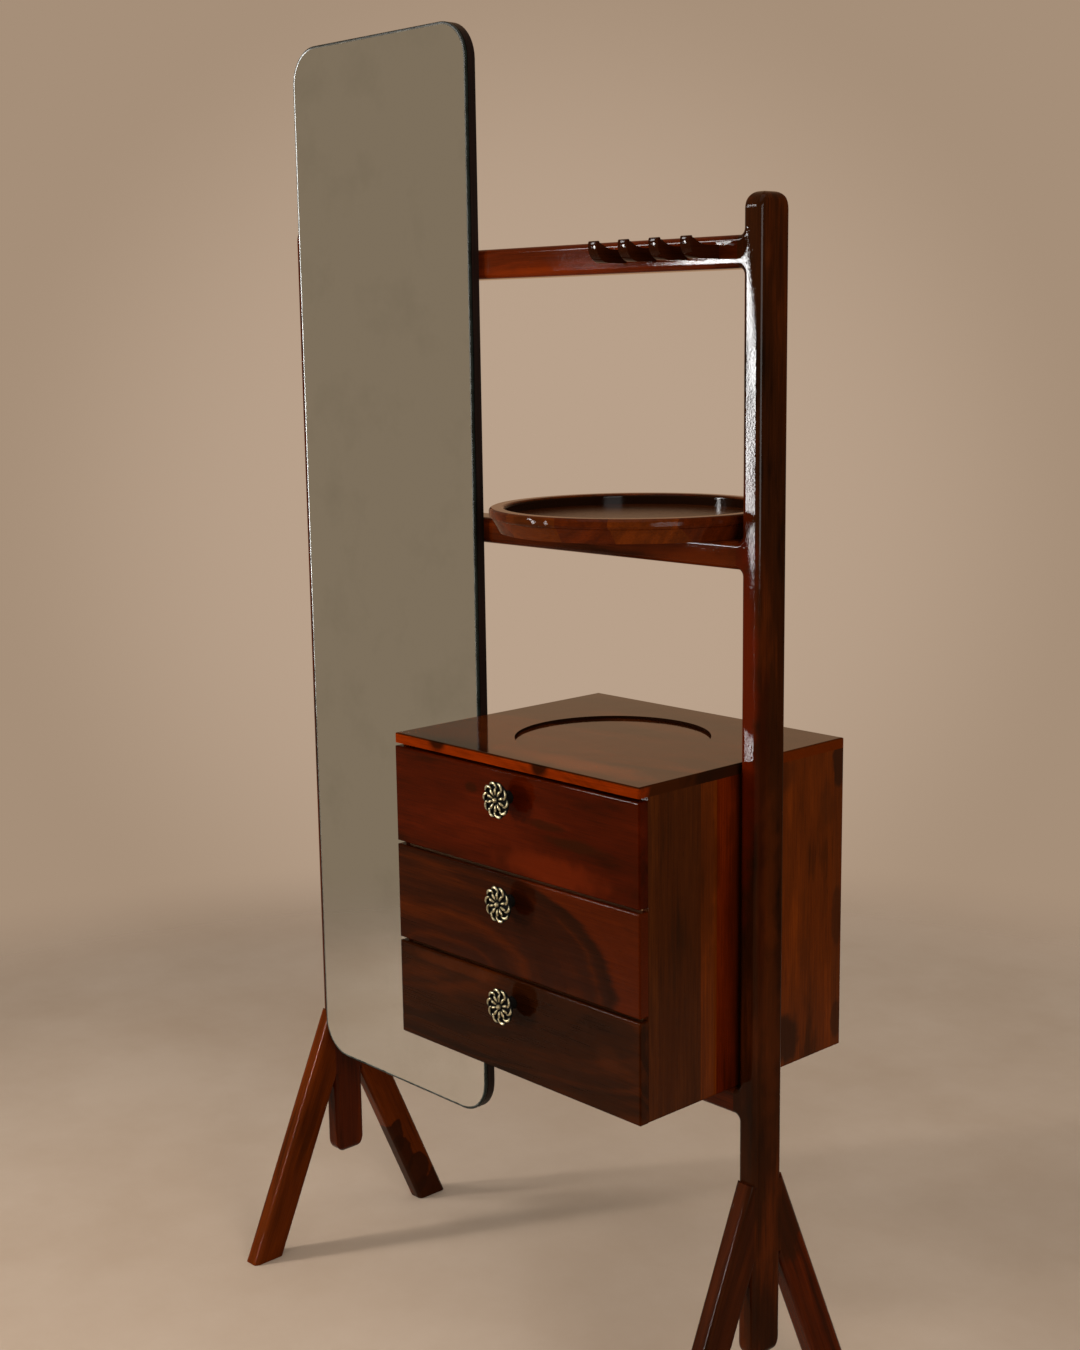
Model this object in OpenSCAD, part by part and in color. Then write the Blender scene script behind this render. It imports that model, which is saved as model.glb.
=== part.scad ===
// Freestanding dressing table: two posts on splayed legs, three rails, a tall mirror at the left,
// a cabinet with three drawers at the right, a round tray above it and four hooks on the top rail.
// Millimetres, +X right, +Y back, +Z up, origin on the floor at the middle of the overall footprint.

/* [Posts] */
// Thickness of the posts and legs, seen from the front
post_w = 26; // [23:0.5:32]
// Depth of the posts and rails, front to back
post_d = 47; // [42:1:56]
// Height of the posts' tops above the floor
post_top = 1428; // [1404:2:1560]
// Height of the posts' lower ends above the floor
post_foot = 119; // [90:1:180]
// Rounding along the edges of posts, rails and legs
edge_r = 6.5; // [3:0.5:8]
// Rounding of the posts' ends
end_r = 9.5; // [3:0.5:11]

/* [Rails] */
// Height of the lower and the middle rail
rail_h = 31; // [26:1:38]
// Height of the top rail
top_rail_h = 34.5; // [28:0.5:40]
// Height of the lower rail's underside, the rail that carries the cabinet
lower_rail_z = 413; // [396:1:520]
// Height of the middle rail's underside, the rail that carries the tray
middle_rail_z = 1033; // [900:1:1150]
// Height of the top rail's underside, the rail that carries the hooks
top_rail_z = 1350; // [1250:2:1376]
// Reach of the carved ears that meet the rails, which is also the radius of their fillets
ear = 7; // [4:0.5:12]
// Length of the rails' tenons
tenon_l = 20; // [12:0.5:26]
// Height of the tenons
tenon_h = 18; // [12:0.5:24]
// Thickness of the tenons, front to back
tenon_t = 16; // [10:0.5:24]
// Clearance round a tenon in its mortise
tenon_gap = 0.15; // [0.05:0.05:0.3]

/* [Legs] */
// Distance of each toe in front of or behind the posts' middle plane
leg_reach = 174; // [150:1:240]
// Height at which the line of a leg's outer face meets the post
leg_bend_z = 344; // [320:1:380]
// Width of a leg, square to its length
leg_w = 44.5; // [38:0.5:52]
// Height cut off the thin upper tip of a leg
leg_tip = 8; // [4:0.5:12]
// Diameter of the dowels that pin two legs to a post
dowel_d = 8; // [6:0.5:11]
// Length of a dowel inside each leg
dowel_bite = 14; // [8:0.5:16]
// Height of the lower dowel above the crotch of the legs
dowel_rise = 16; // [12:0.5:24]
// Distance between the two dowels of a post
dowel_pitch = 36; // [26:0.5:42]
// Clearance round a dowel or a screw
pin_gap = 0.1; // [0.05:0.01:0.2]

/* [Mirror] */
// Width of the mirror
mirror_w = 343; // [300:1:420]
// Height of the mirror
mirror_h = 1363; // [1240:1:1500]
// Height of the mirror's lower edge above the floor
mirror_z = 287; // [240:1:380]
// Radius of the mirror's corners
mirror_r = 46; // [20:1:90]
// Thickness of the silvered glass
glass_t = 4; // [3:0.5:6]
// Thickness of the wooden backing board
backing_t = 11; // [9:0.5:16]
// Space between the mirror and the inner face of the left post
mirror_side_gap = 1.5; // [1:0.5:8]
// Space between the mirror and the cabinet
mirror_cab_gap = 2.5; // [1:0.5:12]
// Distance of the mirror's screws from its middle line
mirror_screw_x = 110; // [60:1:130]

/* [Cabinet] */
// Width of the cabinet
cab_w = 406; // [360:2:480]
// Depth of the cabinet, drawer fronts included
cab_d = 343; // [300:1:400]
// Distance from the drawer fronts' faces back to the posts' middle plane
cab_line = 174; // [150:1:220]
// Thickness of the cabinet's boards
board_t = 12; // [11:0.5:16]
// Rounding of the cabinet's outer edges
cab_r = 3; // [0.5:0.5:4]
// Diameter of the shallow round recess in the top
recess_d = 231; // [160:1:280]
// Depth of the recess
recess_depth = 3.5; // [1:0.5:5]
// Distance of the recess's centre in front of the top's middle
recess_forward = 6; // [0:1:12]
// Thickness of the back panel
back_t = 6; // [4:0.5:9]
// Lap of the back panel in the rebates round it
back_lap = 6; // [3:0.5:8]
// Thickness of the dividers and runners between the drawers
runner_t = 10; // [8:0.5:14]
// Depth of a divider behind the drawer fronts
divider_d = 30; // [20:1:50]
// Width of a runner inside the cabinet
runner_w = 20; // [15:1:30]
// Depth of the dados that hold dividers and runners in the sides
dado_depth = 4; // [2:0.5:6]
// Distance of the outer cabinet screws from its middle line
cab_screw_x = 140; // [60:1:160]

/* [Drawers] */
// Height of a drawer front
front_h = 117; // [112:1:140]
// Thickness of a drawer front
front_t = 13; // [11:0.5:18]
// Gap above each drawer front
front_gap = 4; // [2:0.5:6]
// Rounding of the drawer fronts' edges
front_r = 2; // [0.5:0.5:4]
// Height of a drawer box
box_h = 96; // [70:1:98]
// Thickness of the drawer sides and back
side_t = 10; // [8:0.5:13]
// Thickness of the drawer bottoms
floor_t = 5; // [4:0.5:7]
// Height of the groove that holds a drawer bottom above the box's lower edge
floor_rise = 8; // [5:0.5:12]
// Depth of the grooves that hold a drawer bottom and a drawer back
groove_depth = 5; // [3:0.5:6]
// Depth of the dovetailed housings that hold the sides in a front
dovetail_depth = 6; // [4:0.5:8]
// Narrowing of the dovetail on each cheek
dovetail_taper = 2; // [1:0.25:2.5]
// Distance from the drawer back's rear face to the ends of the sides
back_inset = 6; // [3:0.5:15]
// Clearance beside a drawer box on each hand
side_gap = 1; // [0.5:0.25:2]
// Clearance under a drawer and behind a closed front
run_gap = 0.3; // [0.2:0.05:0.5]
// Space behind a closed drawer box
rear_gap = 5; // [3:0.5:20]

/* [Knobs] */
// Reach of a knob in front of its drawer front
knob_reach = 24; // [18:0.5:32]
// Outside diameter of the rosette
knob_d = 42; // [34:0.5:50]
// Thickness of the rosette
knob_t = 4; // [3:0.5:6]
// Number of petals and rim lobes
petals = 10; // [8:1:12]
// Diameter of a rim lobe
lobe_d = 10; // [7:0.5:12]
// Depth of the scallops between the lobes
scallop = 3.5; // [1.5:0.25:4]
// Diameter of the ring of hollows between the petals
hollow_ring_d = 20; // [16:0.5:22]
// Diameter of a hollow
hollow_d = 4.5; // [2:0.25:5]
// Depth of a hollow
hollow_depth = 1.25; // [0.5:0.25:2]
// Diameter of the button in the rosette's middle
button_d = 6; // [4:0.5:8]
// Height of the button
button_h = 1.5; // [1:0.25:2.5]
// Diameter of the knob's stem
stem_d = 9; // [7:0.5:12]
// Diameter of the stem's foot on the drawer front
stem_foot_d = 15; // [13:0.5:20]
// Thickness of the stem's foot
stem_foot_t = 2; // [1:0.25:4]
// Distance of a knob below the top of its front
knob_drop = 28.5; // [24:0.5:60]

/* [Tray] */
// Diameter of the tray over its rim
tray_d = 334; // [280:1:400]
// Lean of the tray's wall: its foot is smaller than its rim by this at each side
tray_lean = 11; // [3:0.5:13]
// Height of the tray
tray_h = 27.5; // [22:0.5:34]
// Width of the rim's top
rim_w = 18; // [16:0.5:26]
// Rounding of the rim
rim_r = 4; // [1:0.5:6]
// Thickness of the tray's floor
tray_floor_t = 15; // [12:0.5:16]
// Lap of the floor under the rim
tray_lap = 4; // [3:0.5:6]
// Space between the rim and the right post
tray_gap = 13; // [1:0.5:20]
// Distance of the tray's screws from its middle
tray_screw_x = 95; // [40:1:120]

/* [Hooks] */
// Thickness of a hook
hook_t = 13.5; // [10:0.5:18]
// Reach of a hook in front of the rail
hook_reach = 46; // [38:0.5:60]
// Height of a hook's screw above the top rail's underside
hook_seat = 18.5; // [15:0.5:20]
// Drop of a hook's underside below its screw
hook_drop = 8; // [6:0.5:9]
// Rise of a hook's level top above its screw
hook_neck = 6.5; // [5:0.5:7]
// Length of the level top in front of the rail
hook_level = 18.5; // [12:0.5:24]
// Rounding of the tip
tip_r = 2.2; // [1:0.1:3]
// Radius of the hook's rounded outer corner
hook_outer_r = 18; // [14:0.5:20]
// Radius of the hollow behind the tip
hook_hollow_r = 36; // [28:1:48]
// Rise of the tip above the screw
hook_rise = 15.5; // [13:0.5:20]
// Distance between neighbouring hooks
hook_pitch = 45.5; // [30:0.5:60]
// Distance from the right ear to the last hook
hook_edge = 25; // [12:0.5:60]

/* [Screws] */
// Diameter of the screws
screw_d = 4; // [3:0.25:5]
// Diameter of their heads
screw_head_d = 8; // [7:0.25:9]
// Height of their heads
screw_head_h = 2.5; // [2:0.25:3.5]
// Rail left under a screw head when driven from behind
deep_grip = 22; // [14:0.5:30]
// Rail left under a screw head when driven from below
rail_grip = 15; // [10:0.5:20]
// Bite of the screws in the mirror's backing and in the cabinet's bottom
board_bite = 8; // [5:0.5:8.5]
// Bite of the screws in the hooks and in the tray's floor
thick_bite = 11; // [8:0.5:11]

/* [Hidden] */
$fn = 64;
// Facets of the large rounds
fine = 128;

// Finishes
rosewood = [0.33, 0.13, 0.07];
heartwood = [0.24, 0.09, 0.05];
redwood = [0.42, 0.15, 0.06];
plainwood = [0.55, 0.36, 0.22];
black = [0.06, 0.04, 0.04];
silver = [0.68, 0.70, 0.66];
brass = [0.45, 0.40, 0.28];
steel = [0.60, 0.60, 0.62];

// A cut reaches this far past the face that it opens
over = 1;
// A shaping prism reaches this far past the piece that it shapes
long = 60;

// Plan: from left to right the posts hold the mirror, the cabinet and the right ear
clear_w = mirror_side_gap + mirror_w + mirror_cab_gap + cab_w + ear;
inner_x = clear_w / 2;
post_x = inner_x + post_w / 2;
ear_x = inner_x - ear;
mirror_x = -inner_x + mirror_side_gap + mirror_w / 2;
cab_x = ear_x - cab_w;
drawer_x = cab_x + cab_w / 2;

// Plan: the origin is midway between the foremost and the rearmost point
front_reach = max(leg_reach, cab_line + knob_reach);
back_reach = max(leg_reach, cab_d - cab_line, tray_d / 2);
post_y = (front_reach - back_reach) / 2;
rail_front_y = post_y - post_d / 2;
cab_y = post_y - cab_line;

// Heights; each rail has its underside and its height
rails = [[lower_rail_z, rail_h], [middle_rail_z, rail_h], [top_rail_z, top_rail_h]];
function rail_mid(rail) = rail[0] + rail[1] / 2;
cab_z = lower_rail_z + rail_h;
pitch_z = front_h + front_gap;
cab_h = board_t + 3 * pitch_z;
hook_z = top_rail_z + hook_seat;
tray_z = middle_rail_z + rail_h;

// Legs: the outer face runs from the toe to the bend on the post's face
leg_lean = atan((leg_reach - post_d / 2) / leg_bend_z);
leg_foot_w = leg_w / cos(leg_lean);
crotch_z = leg_bend_z - leg_foot_w / tan(leg_lean);
seat_low = crotch_z + 1.5 * edge_r;
seat_high = leg_bend_z - leg_tip - edge_r / 2;
dowel_zs = [crotch_z + dowel_rise, crotch_z + dowel_rise + dowel_pitch];

// Drawers: 1 is the top one
carcass_y = front_t + run_gap;
box_w = cab_w - 2 * board_t - 2 * side_gap;
box_x = board_t + side_gap;
box_end = cab_d - back_t - rear_gap;
function front_z(k) = (3 - k) * pitch_z;
function divider_z(k) = front_z(k) - front_gap / 2 - runner_t / 2;
function box_z(k) = (k == 3 ? board_t : divider_z(k) + runner_t) + run_gap;

// Tray
tray_r = tray_d / 2;
tray_x = inner_x - tray_gap - tray_r;
tray_inner_r = tray_r - rim_w;
tray_floor_r = tray_inner_r + tray_lap;
bead_h = 3 * rim_r;

// Screws
slot_w = screw_head_h / 3;
slot_depth = 0.7 * screw_head_h;

// Rectangle with rounded corners, centred
module rounded_rect(w, d, r) {
    for (x = [-1, 1], y = [-1, 1])
        translate([x * (w / 2 - r), y * (d / 2 - r)]) circle(r);
    square([w, d - 2 * r], center = true);
    square([w - 2 * r, d], center = true);
}

// Block with all its edges rounded, with one corner at the origin
module rounded_block(size, r) {
    translate(size / 2) intersection() {
        linear_extrude(size.z + 2 * long, center = true) rounded_rect(size.x, size.y, r);
        rotate([90, 0, 0])
            linear_extrude(size.y + 2 * long, center = true) rounded_rect(size.x, size.z, r);
        rotate([90, 0, 90])
            linear_extrude(size.x + 2 * long, center = true) rounded_rect(size.y, size.z, r);
    }
}

// Screw along +Z with the underside of its slotted head at the origin
module screw(l) {
    cylinder(d = screw_d, h = l);
    translate([0, 0, -screw_head_h]) difference() {
        cylinder(d = screw_head_d, h = screw_head_h);
        translate([-screw_head_d / 2 - over, -slot_w / 2, -over])
            cube([screw_head_d + 2 * over, slot_w, slot_depth + over]);
    }
}

// Bore for that screw, with a counterbore that is sink deep behind the head's seat
module screw_bore(l, sink) {
    cylinder(d = screw_d + 2 * pin_gap, h = l + over);
    translate([0, 0, -sink - over])
        cylinder(d = screw_head_d + 4 * pin_gap, h = sink + over);
}

// Places its children at every screw that is driven forwards through a rail at height z
module forward_screws(xs, z) {
    for (x = xs)
        translate([x, rail_front_y + deep_grip, z]) rotate([90, 0, 0]) children();
}

// Places its children at every screw that is driven up through a rail into what it carries
module upward_screws(xs, z) {
    for (x = xs)
        translate([x, post_y, z - rail_grip]) children();
}

module mirror_screw_places() {
    for (rail = rails)
        forward_screws([mirror_x - mirror_screw_x, mirror_x + mirror_screw_x], rail_mid(rail))
            children();
}

module hook_screw_places() {
    forward_screws([for (i = [1:4]) hook_x(i) + hook_t / 2], hook_z) children();
}

module tray_screw_places() {
    upward_screws([tray_x - tray_screw_x, tray_x, tray_x + tray_screw_x], tray_z) children();
}

module cabinet_screw_places() {
    upward_screws([drawer_x - cab_screw_x, drawer_x, drawer_x + cab_screw_x], cab_z) children();
}

// Carved ear on a post's inner face: the rail's section carried into the post, with a swept
// fillet above and below that keeps the rounded edges running from post to rail
module carved_ear(rail) {
    translate([-post_w / 2, 0, rail_mid(rail)]) {
        rotate([0, -90, 0])
            linear_extrude(2 * ear, center = true) rounded_rect(rail[1], post_d, edge_r);
        for (turn = [0, 90])
            translate([-ear, 0, (turn == 0 ? -1 : 1) * (rail[1] / 2 + ear)])
                rotate([90, turn, 0]) rotate_extrude(angle = 90) fillet_section();
    }
}

// Section of the fillet, at its radius from the axis that it is swept round
module fillet_section() {
    translate([ear, 0]) difference() {
        translate([0, -post_d / 2]) square([1.5 * edge_r, post_d]);
        for (m = [0, 1]) mirror([0, m]) difference() {
            translate([-over, post_d / 2 - edge_r]) square([edge_r + over, edge_r + over]);
            translate([edge_r, post_d / 2 - edge_r]) circle(edge_r);
        }
    }
}

// Side view of a post from the direction turn, w wide, run through the post: it rounds its ends
module post_profile(turn, w) {
    l = post_top - post_foot;
    translate([0, 0, post_foot + l / 2]) rotate([90, 0, turn])
        linear_extrude(post_d + long, center = true) rounded_rect(w, l, end_r);
}

// Post at the right hand, with its ears towards -X; the left post is its mirror image
module post(side) {
    corner_w = sqrt(0.5) * (post_w + post_d - 4 * edge_r) + 2 * edge_r;
    translate([side * post_x, post_y, 0]) mirror([side < 0 ? 1 : 0, 0, 0]) difference() {
        union() {
            intersection() {
                translate([0, 0, post_foot]) linear_extrude(post_top - post_foot)
                    rounded_rect(post_w, post_d, edge_r);
                post_profile(0, post_w);
                post_profile(45, corner_w);
                post_profile(90, post_d);
                post_profile(135, corner_w);
            }
            // The edges stay square where the legs are seated
            translate([-post_w / 2, -post_d / 2, seat_low])
                cube([post_w, post_d, seat_high - seat_low]);
            for (rail = rails) carved_ear(rail);
        }
        for (rail = rails)
            translate([-post_w / 2 - ear - over, 0, rail_mid(rail)])
                tenon(over + tenon_l + tenon_gap, tenon_gap);
        for (z = dowel_zs)
            translate([0, 0, z]) rotate([90, 0, 0])
                cylinder(d = dowel_d + 2 * pin_gap, h = post_d + 2 * over, center = true);
    }
}

// Tenon along +X, grown by a clearance all round
module tenon(l, gap) {
    translate([0, -tenon_t / 2 - gap, -tenon_h / 2 - gap])
        cube([l, tenon_t + 2 * gap, tenon_h + 2 * gap]);
}

// Rail from ear to ear with a tenon at each end
module rail(rail) {
    translate([0, post_y, rail_mid(rail)]) {
        rotate([0, 90, 0])
            linear_extrude(2 * ear_x, center = true) rounded_rect(rail[1], post_d, edge_r);
        translate([-ear_x - tenon_l, 0, 0]) tenon(2 * (ear_x + tenon_l), 0);
    }
}

// Leg at the back, from its seat on the post's face to the floor
module leg(side, way) {
    bar_l = leg_bend_z / cos(leg_lean) + 2 * long;
    color(rosewood) translate([side * post_x, post_y, 0]) mirror([0, way < 0 ? 1 : 0, 0])
        difference() {
            intersection() {
                translate([0, leg_reach, 0]) rotate([leg_lean, 0, 0])
                    translate([0, -leg_w / 2, -long]) linear_extrude(bar_l)
                        rounded_rect(post_w, leg_w, edge_r);
                translate([-post_w, post_d / 2, 0])
                    cube([2 * post_w, leg_reach, leg_bend_z - leg_tip]);
            }
            for (z = dowel_zs)
                translate([0, 0, z]) rotate([-90, 0, 0])
                    cylinder(d = dowel_d + 2 * pin_gap, h = post_d / 2 + dowel_bite + over);
        }
}

// Curved hook: flat underside, round outer corner and a hollow that rises to the tip
module hook_outline() {
    outer = [hook_outer_r - hook_reach, hook_outer_r - hook_drop];
    tip_y = hook_rise - tip_r;
    // The tip's round touches the outer round from inside
    tip_x = outer.x - sqrt((hook_outer_r - tip_r) ^ 2 - (tip_y - outer.y) ^ 2);
    difference() {
        union() {
            translate(outer) circle(hook_outer_r);
            translate([outer.x, -hook_drop]) square([-outer.x, hook_drop + hook_neck]);
        }
        translate([-hook_level, hook_neck]) square([hook_reach, 2 * hook_outer_r]);
        translate([-hook_level, hook_neck + hook_hollow_r]) circle(hook_hollow_r, $fn = fine);
        translate([-2 * hook_reach, tip_y]) square(2 * hook_reach);
    }
    translate([tip_x, tip_y]) circle(tip_r);
}

function hook_x(i) = ear_x - hook_edge - hook_t - (4 - i) * hook_pitch;

module hook(i) color(rosewood) difference() {
    translate([hook_x(i), rail_front_y, hook_z])
        rotate([90, 0, 90]) linear_extrude(hook_t) hook_outline();
    hook_screw_places() screw_bore(deep_grip + thick_bite, 0);
}

module left_post() color(rosewood) post(-1);
module right_post() color(rosewood) post(1);

module top_rail() color(rosewood) difference() {
    rail(rails[2]);
    mirror_screw_places() screw_bore(deep_grip + board_bite, post_d);
    hook_screw_places() screw_bore(deep_grip + thick_bite, post_d);
}

module middle_rail() color(rosewood) difference() {
    rail(rails[1]);
    mirror_screw_places() screw_bore(deep_grip + board_bite, post_d);
    tray_screw_places() screw_bore(rail_grip + thick_bite, rail_h);
}

module lower_rail() color(rosewood) difference() {
    rail(rails[0]);
    mirror_screw_places() screw_bore(deep_grip + board_bite, post_d);
    cabinet_screw_places() screw_bore(rail_grip + board_bite, rail_h);
}

module leg_dowels() color(plainwood)
    for (side = [-1, 1], z = dowel_zs)
        translate([side * post_x, post_y, z]) rotate([90, 0, 0])
            cylinder(d = dowel_d, h = post_d + 2 * dowel_bite, center = true);

module hook_screws() color(steel) hook_screw_places() screw(deep_grip + thick_bite);

// Outline of the mirror, t thick, with its back face at the distance y in front of the rails
module mirror_plate(t, y) {
    translate([mirror_x, rail_front_y - y, mirror_z + mirror_h / 2]) rotate([90, 0, 0])
        linear_extrude(t) rounded_rect(mirror_w, mirror_h, mirror_r);
}

module mirror_glass() color(silver) mirror_plate(glass_t, backing_t);

module mirror_backing() color(black) difference() {
    mirror_plate(backing_t, 0);
    mirror_screw_places() screw_bore(deep_grip + board_bite, 0);
}

module mirror_screws() color(steel) mirror_screw_places() screw(deep_grip + board_bite);

// Rim of the tray: a rounded bead over a wall that leans in towards the foot
module tray_rim() color(redwood) translate([tray_x, post_y, tray_z]) rotate_extrude($fn = fine)
    difference() {
        union() {
            translate([tray_inner_r + rim_w / 2, tray_h - bead_h / 2])
                rounded_rect(rim_w, bead_h, rim_r);
            polygon([
                [tray_inner_r, 0], [tray_r - tray_lean, 0],
                [tray_r, tray_h - bead_h / 2], [tray_inner_r, tray_h - bead_h / 2]
            ]);
        }
        translate([0, -over]) square([tray_floor_r + pin_gap, tray_floor_t + over]);
    }

module tray_floor() color(heartwood) difference() {
    translate([tray_x, post_y, tray_z]) cylinder(r = tray_floor_r, h = tray_floor_t, $fn = fine);
    tray_screw_places() screw_bore(rail_grip + thick_bite, 0);
}

module tray_screws() color(steel) tray_screw_places() screw(rail_grip + thick_bite);

module in_cabinet() translate([cab_x, cab_y, cab_z]) children();

// Carcass board: an outline of the front view, run from the drawer fronts to the back, with the
// outer edges rounded and a rebate for the back panel
module carcass_board(outline) difference() {
    intersection() {
        translate([0, cab_d, 0]) rotate([90, 0, 0])
            linear_extrude(cab_d - carcass_y) polygon(outline);
        rounded_block([cab_w, cab_d, cab_h], cab_r);
    }
    back_panel(over);
}

// Back panel in its rebate; extra makes it reach past the carcass for a cut
module back_panel(extra) {
    inset = board_t - back_lap;
    translate([inset, cab_d - back_t, inset])
        cube([cab_w - 2 * inset, back_t + extra, cab_h - 2 * inset]);
}

// Dados in the sides for the dividers and the runners
module dados() {
    for (k = [1, 2])
        translate([board_t - dado_depth, carcass_y - over, divider_z(k)])
            cube([cab_w - 2 * (board_t - dado_depth), cab_d - back_t - carcass_y + over, runner_t]);
}

// The top lies on the sides, and its front lip covers their front ends
module cabinet_top() color(redwood) in_cabinet() difference() {
    union() {
        carcass_board([
            [0, cab_h - board_t], [cab_w, cab_h - board_t], [cab_w, cab_h], [0, cab_h]
        ]);
        intersection() {
            translate([0, 0, cab_h - board_t]) cube([cab_w, carcass_y, board_t]);
            rounded_block([cab_w, cab_d, cab_h], cab_r);
        }
    }
    translate([cab_w / 2, cab_d / 2 - recess_forward, cab_h - recess_depth])
        cylinder(d = recess_d, h = recess_depth + over, $fn = fine);
}

module cabinet_left_side() color(redwood) in_cabinet() difference() {
    carcass_board([
        [0, 0], [board_t, board_t], [board_t, cab_h - board_t], [0, cab_h - board_t]
    ]);
    dados();
}

module cabinet_right_side() color(redwood) in_cabinet() difference() {
    carcass_board([
        [cab_w, 0], [cab_w, cab_h - board_t],
        [cab_w - board_t, cab_h - board_t], [cab_w - board_t, board_t]
    ]);
    dados();
}

module cabinet_bottom() color(redwood) difference() {
    in_cabinet()
        carcass_board([[0, 0], [cab_w, 0], [cab_w - board_t, board_t], [board_t, board_t]]);
    cabinet_screw_places() screw_bore(rail_grip + board_bite, 0);
}

module cabinet_back() color(plainwood) in_cabinet() back_panel(0);

module divider(k) color(plainwood) in_cabinet()
    translate([board_t - dado_depth, carcass_y, divider_z(k)])
        cube([cab_w - 2 * (board_t - dado_depth), divider_d, runner_t]);

// Runner behind divider k: 0 is the left one, 1 the right one
module runner(k, hand) color(plainwood) in_cabinet()
    translate([hand * cab_w, carcass_y + divider_d, divider_z(k)]) mirror([hand, 0, 0])
        translate([board_t - dado_depth, 0, 0])
            cube([dado_depth + runner_w, cab_d - back_t - carcass_y - divider_d, runner_t]);

module cabinet_screws() color(steel) cabinet_screw_places() screw(rail_grip + board_bite);

// Plan of the dovetail on a side's front end; its root lies on the front's inner face
module dovetail() {
    polygon([
        [dovetail_taper, over], [dovetail_taper, 0], [0, -dovetail_depth],
        [side_t, -dovetail_depth], [side_t - dovetail_taper, 0], [side_t - dovetail_taper, over]
    ]);
}

// The left side's blank, which drawer front k is cut with too
module side_dovetail(k) {
    translate([box_x, front_t, box_z(k)]) linear_extrude(box_h) dovetail();
}

// Bottom panel of drawer k, from the front's groove to the back's rear face
module drawer_floor(k) {
    inset = side_t - groove_depth;
    translate([box_x + inset, front_t - groove_depth, box_z(k) + floor_rise])
        cube([box_w - 2 * inset, box_end - back_inset - front_t + groove_depth, floor_t]);
}

// Mirrors its children to the right-hand side of the drawer when hand is 1
module on_hand(hand) translate([hand * cab_w, 0, 0]) mirror([hand, 0, 0]) children();

module in_knob(k) in_cabinet()
    translate([cab_w / 2, 0, front_z(k) + front_h - knob_drop]) rotate([90, 0, 0]) children();

module drawer_front(k) color(redwood) difference() {
    in_cabinet() difference() {
        intersection() {
            translate([0, 0, front_z(k)]) rounded_block([cab_w, 2 * front_t, front_h], front_r);
            translate([0, 0, front_z(k)]) cube([cab_w, front_t, front_h]);
        }
        for (hand = [0, 1]) on_hand(hand) side_dovetail(k);
        drawer_floor(k);
    }
    in_knob(k) cylinder(d = screw_d + 2 * pin_gap, h = 4 * front_t, center = true);
}

module drawer_side(k, hand) color(plainwood) in_cabinet() difference() {
    on_hand(hand) union() {
        side_dovetail(k);
        translate([box_x, front_t, box_z(k)]) cube([side_t, box_end - front_t, box_h]);
    }
    drawer_floor(k);
    // The floor's groove runs out at the rear end, so that the floor slides in from behind
    translate([0, box_end / 2, 0]) drawer_floor(k);
    drawer_back_blank(k);
}

// The back stands on the floor, between dados in the sides
module drawer_back_blank(k) {
    inset = side_t - groove_depth;
    bottom = floor_rise + floor_t;
    translate([box_x + inset, box_end - back_inset - side_t, box_z(k) + bottom])
        cube([box_w - 2 * inset, side_t, box_h - bottom]);
}

module drawer_back(k) color(plainwood) in_cabinet() drawer_back_blank(k);

module drawer_bottom(k) color(plainwood) in_cabinet() drawer_floor(k);

// Rosette knob on a turned stem: petals with hollows between them inside a rim of round lobes
module drawer_knob(k) color(brass) in_knob(k) difference() {
    face = knob_reach - button_h;
    union() {
        rotate_extrude() {
            square([stem_d / 2, face]);
            square([stem_foot_d / 2, stem_foot_t]);
            square([button_d / 2, knob_reach]);
        }
        translate([0, 0, face - knob_t]) linear_extrude(knob_t) {
            circle(d = knob_d - 2 * scallop);
            for (i = [1:petals])
                rotate(i * 360 / petals) translate([(knob_d - lobe_d) / 2, 0]) circle(d = lobe_d);
        }
    }
    for (i = [1:petals]) rotate((i + 0.5) * 360 / petals)
        translate([hollow_ring_d / 2, 0, face - hollow_depth])
            cylinder(d = hollow_d, h = hollow_depth + over);
    translate([0, 0, -over]) cylinder(d = screw_d + 2 * pin_gap, h = knob_reach / 2 + 2 * over);
}

// Screw from inside the drawer into the knob's stem
module drawer_knob_screw(k) color(steel) in_knob(k)
    translate([0, 0, -front_t]) screw(front_t + knob_reach / 2);

left_post();
right_post();
top_rail();
middle_rail();
lower_rail();
leg(-1, -1);  // front_left_leg
leg(-1, 1);  // back_left_leg
leg(1, -1);  // front_right_leg
leg(1, 1);  // back_right_leg
leg_dowels();
hook(1);  // hook_1
hook(2);  // hook_2
hook(3);  // hook_3
hook(4);  // hook_4
hook_screws();
mirror_glass();
mirror_backing();
mirror_screws();
tray_rim();
tray_floor();
tray_screws();
cabinet_top();
cabinet_left_side();
cabinet_right_side();
cabinet_bottom();
cabinet_back();
divider(1);  // upper_divider
divider(2);  // lower_divider
runner(1, 0);  // upper_left_runner
runner(1, 1);  // upper_right_runner
runner(2, 0);  // lower_left_runner
runner(2, 1);  // lower_right_runner
cabinet_screws();
drawer_front(1);  // drawer_1_front
drawer_side(1, 0);  // drawer_1_left_side
drawer_side(1, 1);  // drawer_1_right_side
drawer_back(1);  // drawer_1_back
drawer_bottom(1);  // drawer_1_bottom
drawer_knob(1);  // drawer_1_knob
drawer_knob_screw(1);  // drawer_1_knob_screw
drawer_front(2);  // drawer_2_front
drawer_side(2, 0);  // drawer_2_left_side
drawer_side(2, 1);  // drawer_2_right_side
drawer_back(2);  // drawer_2_back
drawer_bottom(2);  // drawer_2_bottom
drawer_knob(2);  // drawer_2_knob
drawer_knob_screw(2);  // drawer_2_knob_screw
drawer_front(3);  // drawer_3_front
drawer_side(3, 0);  // drawer_3_left_side
drawer_side(3, 1);  // drawer_3_right_side
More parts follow.
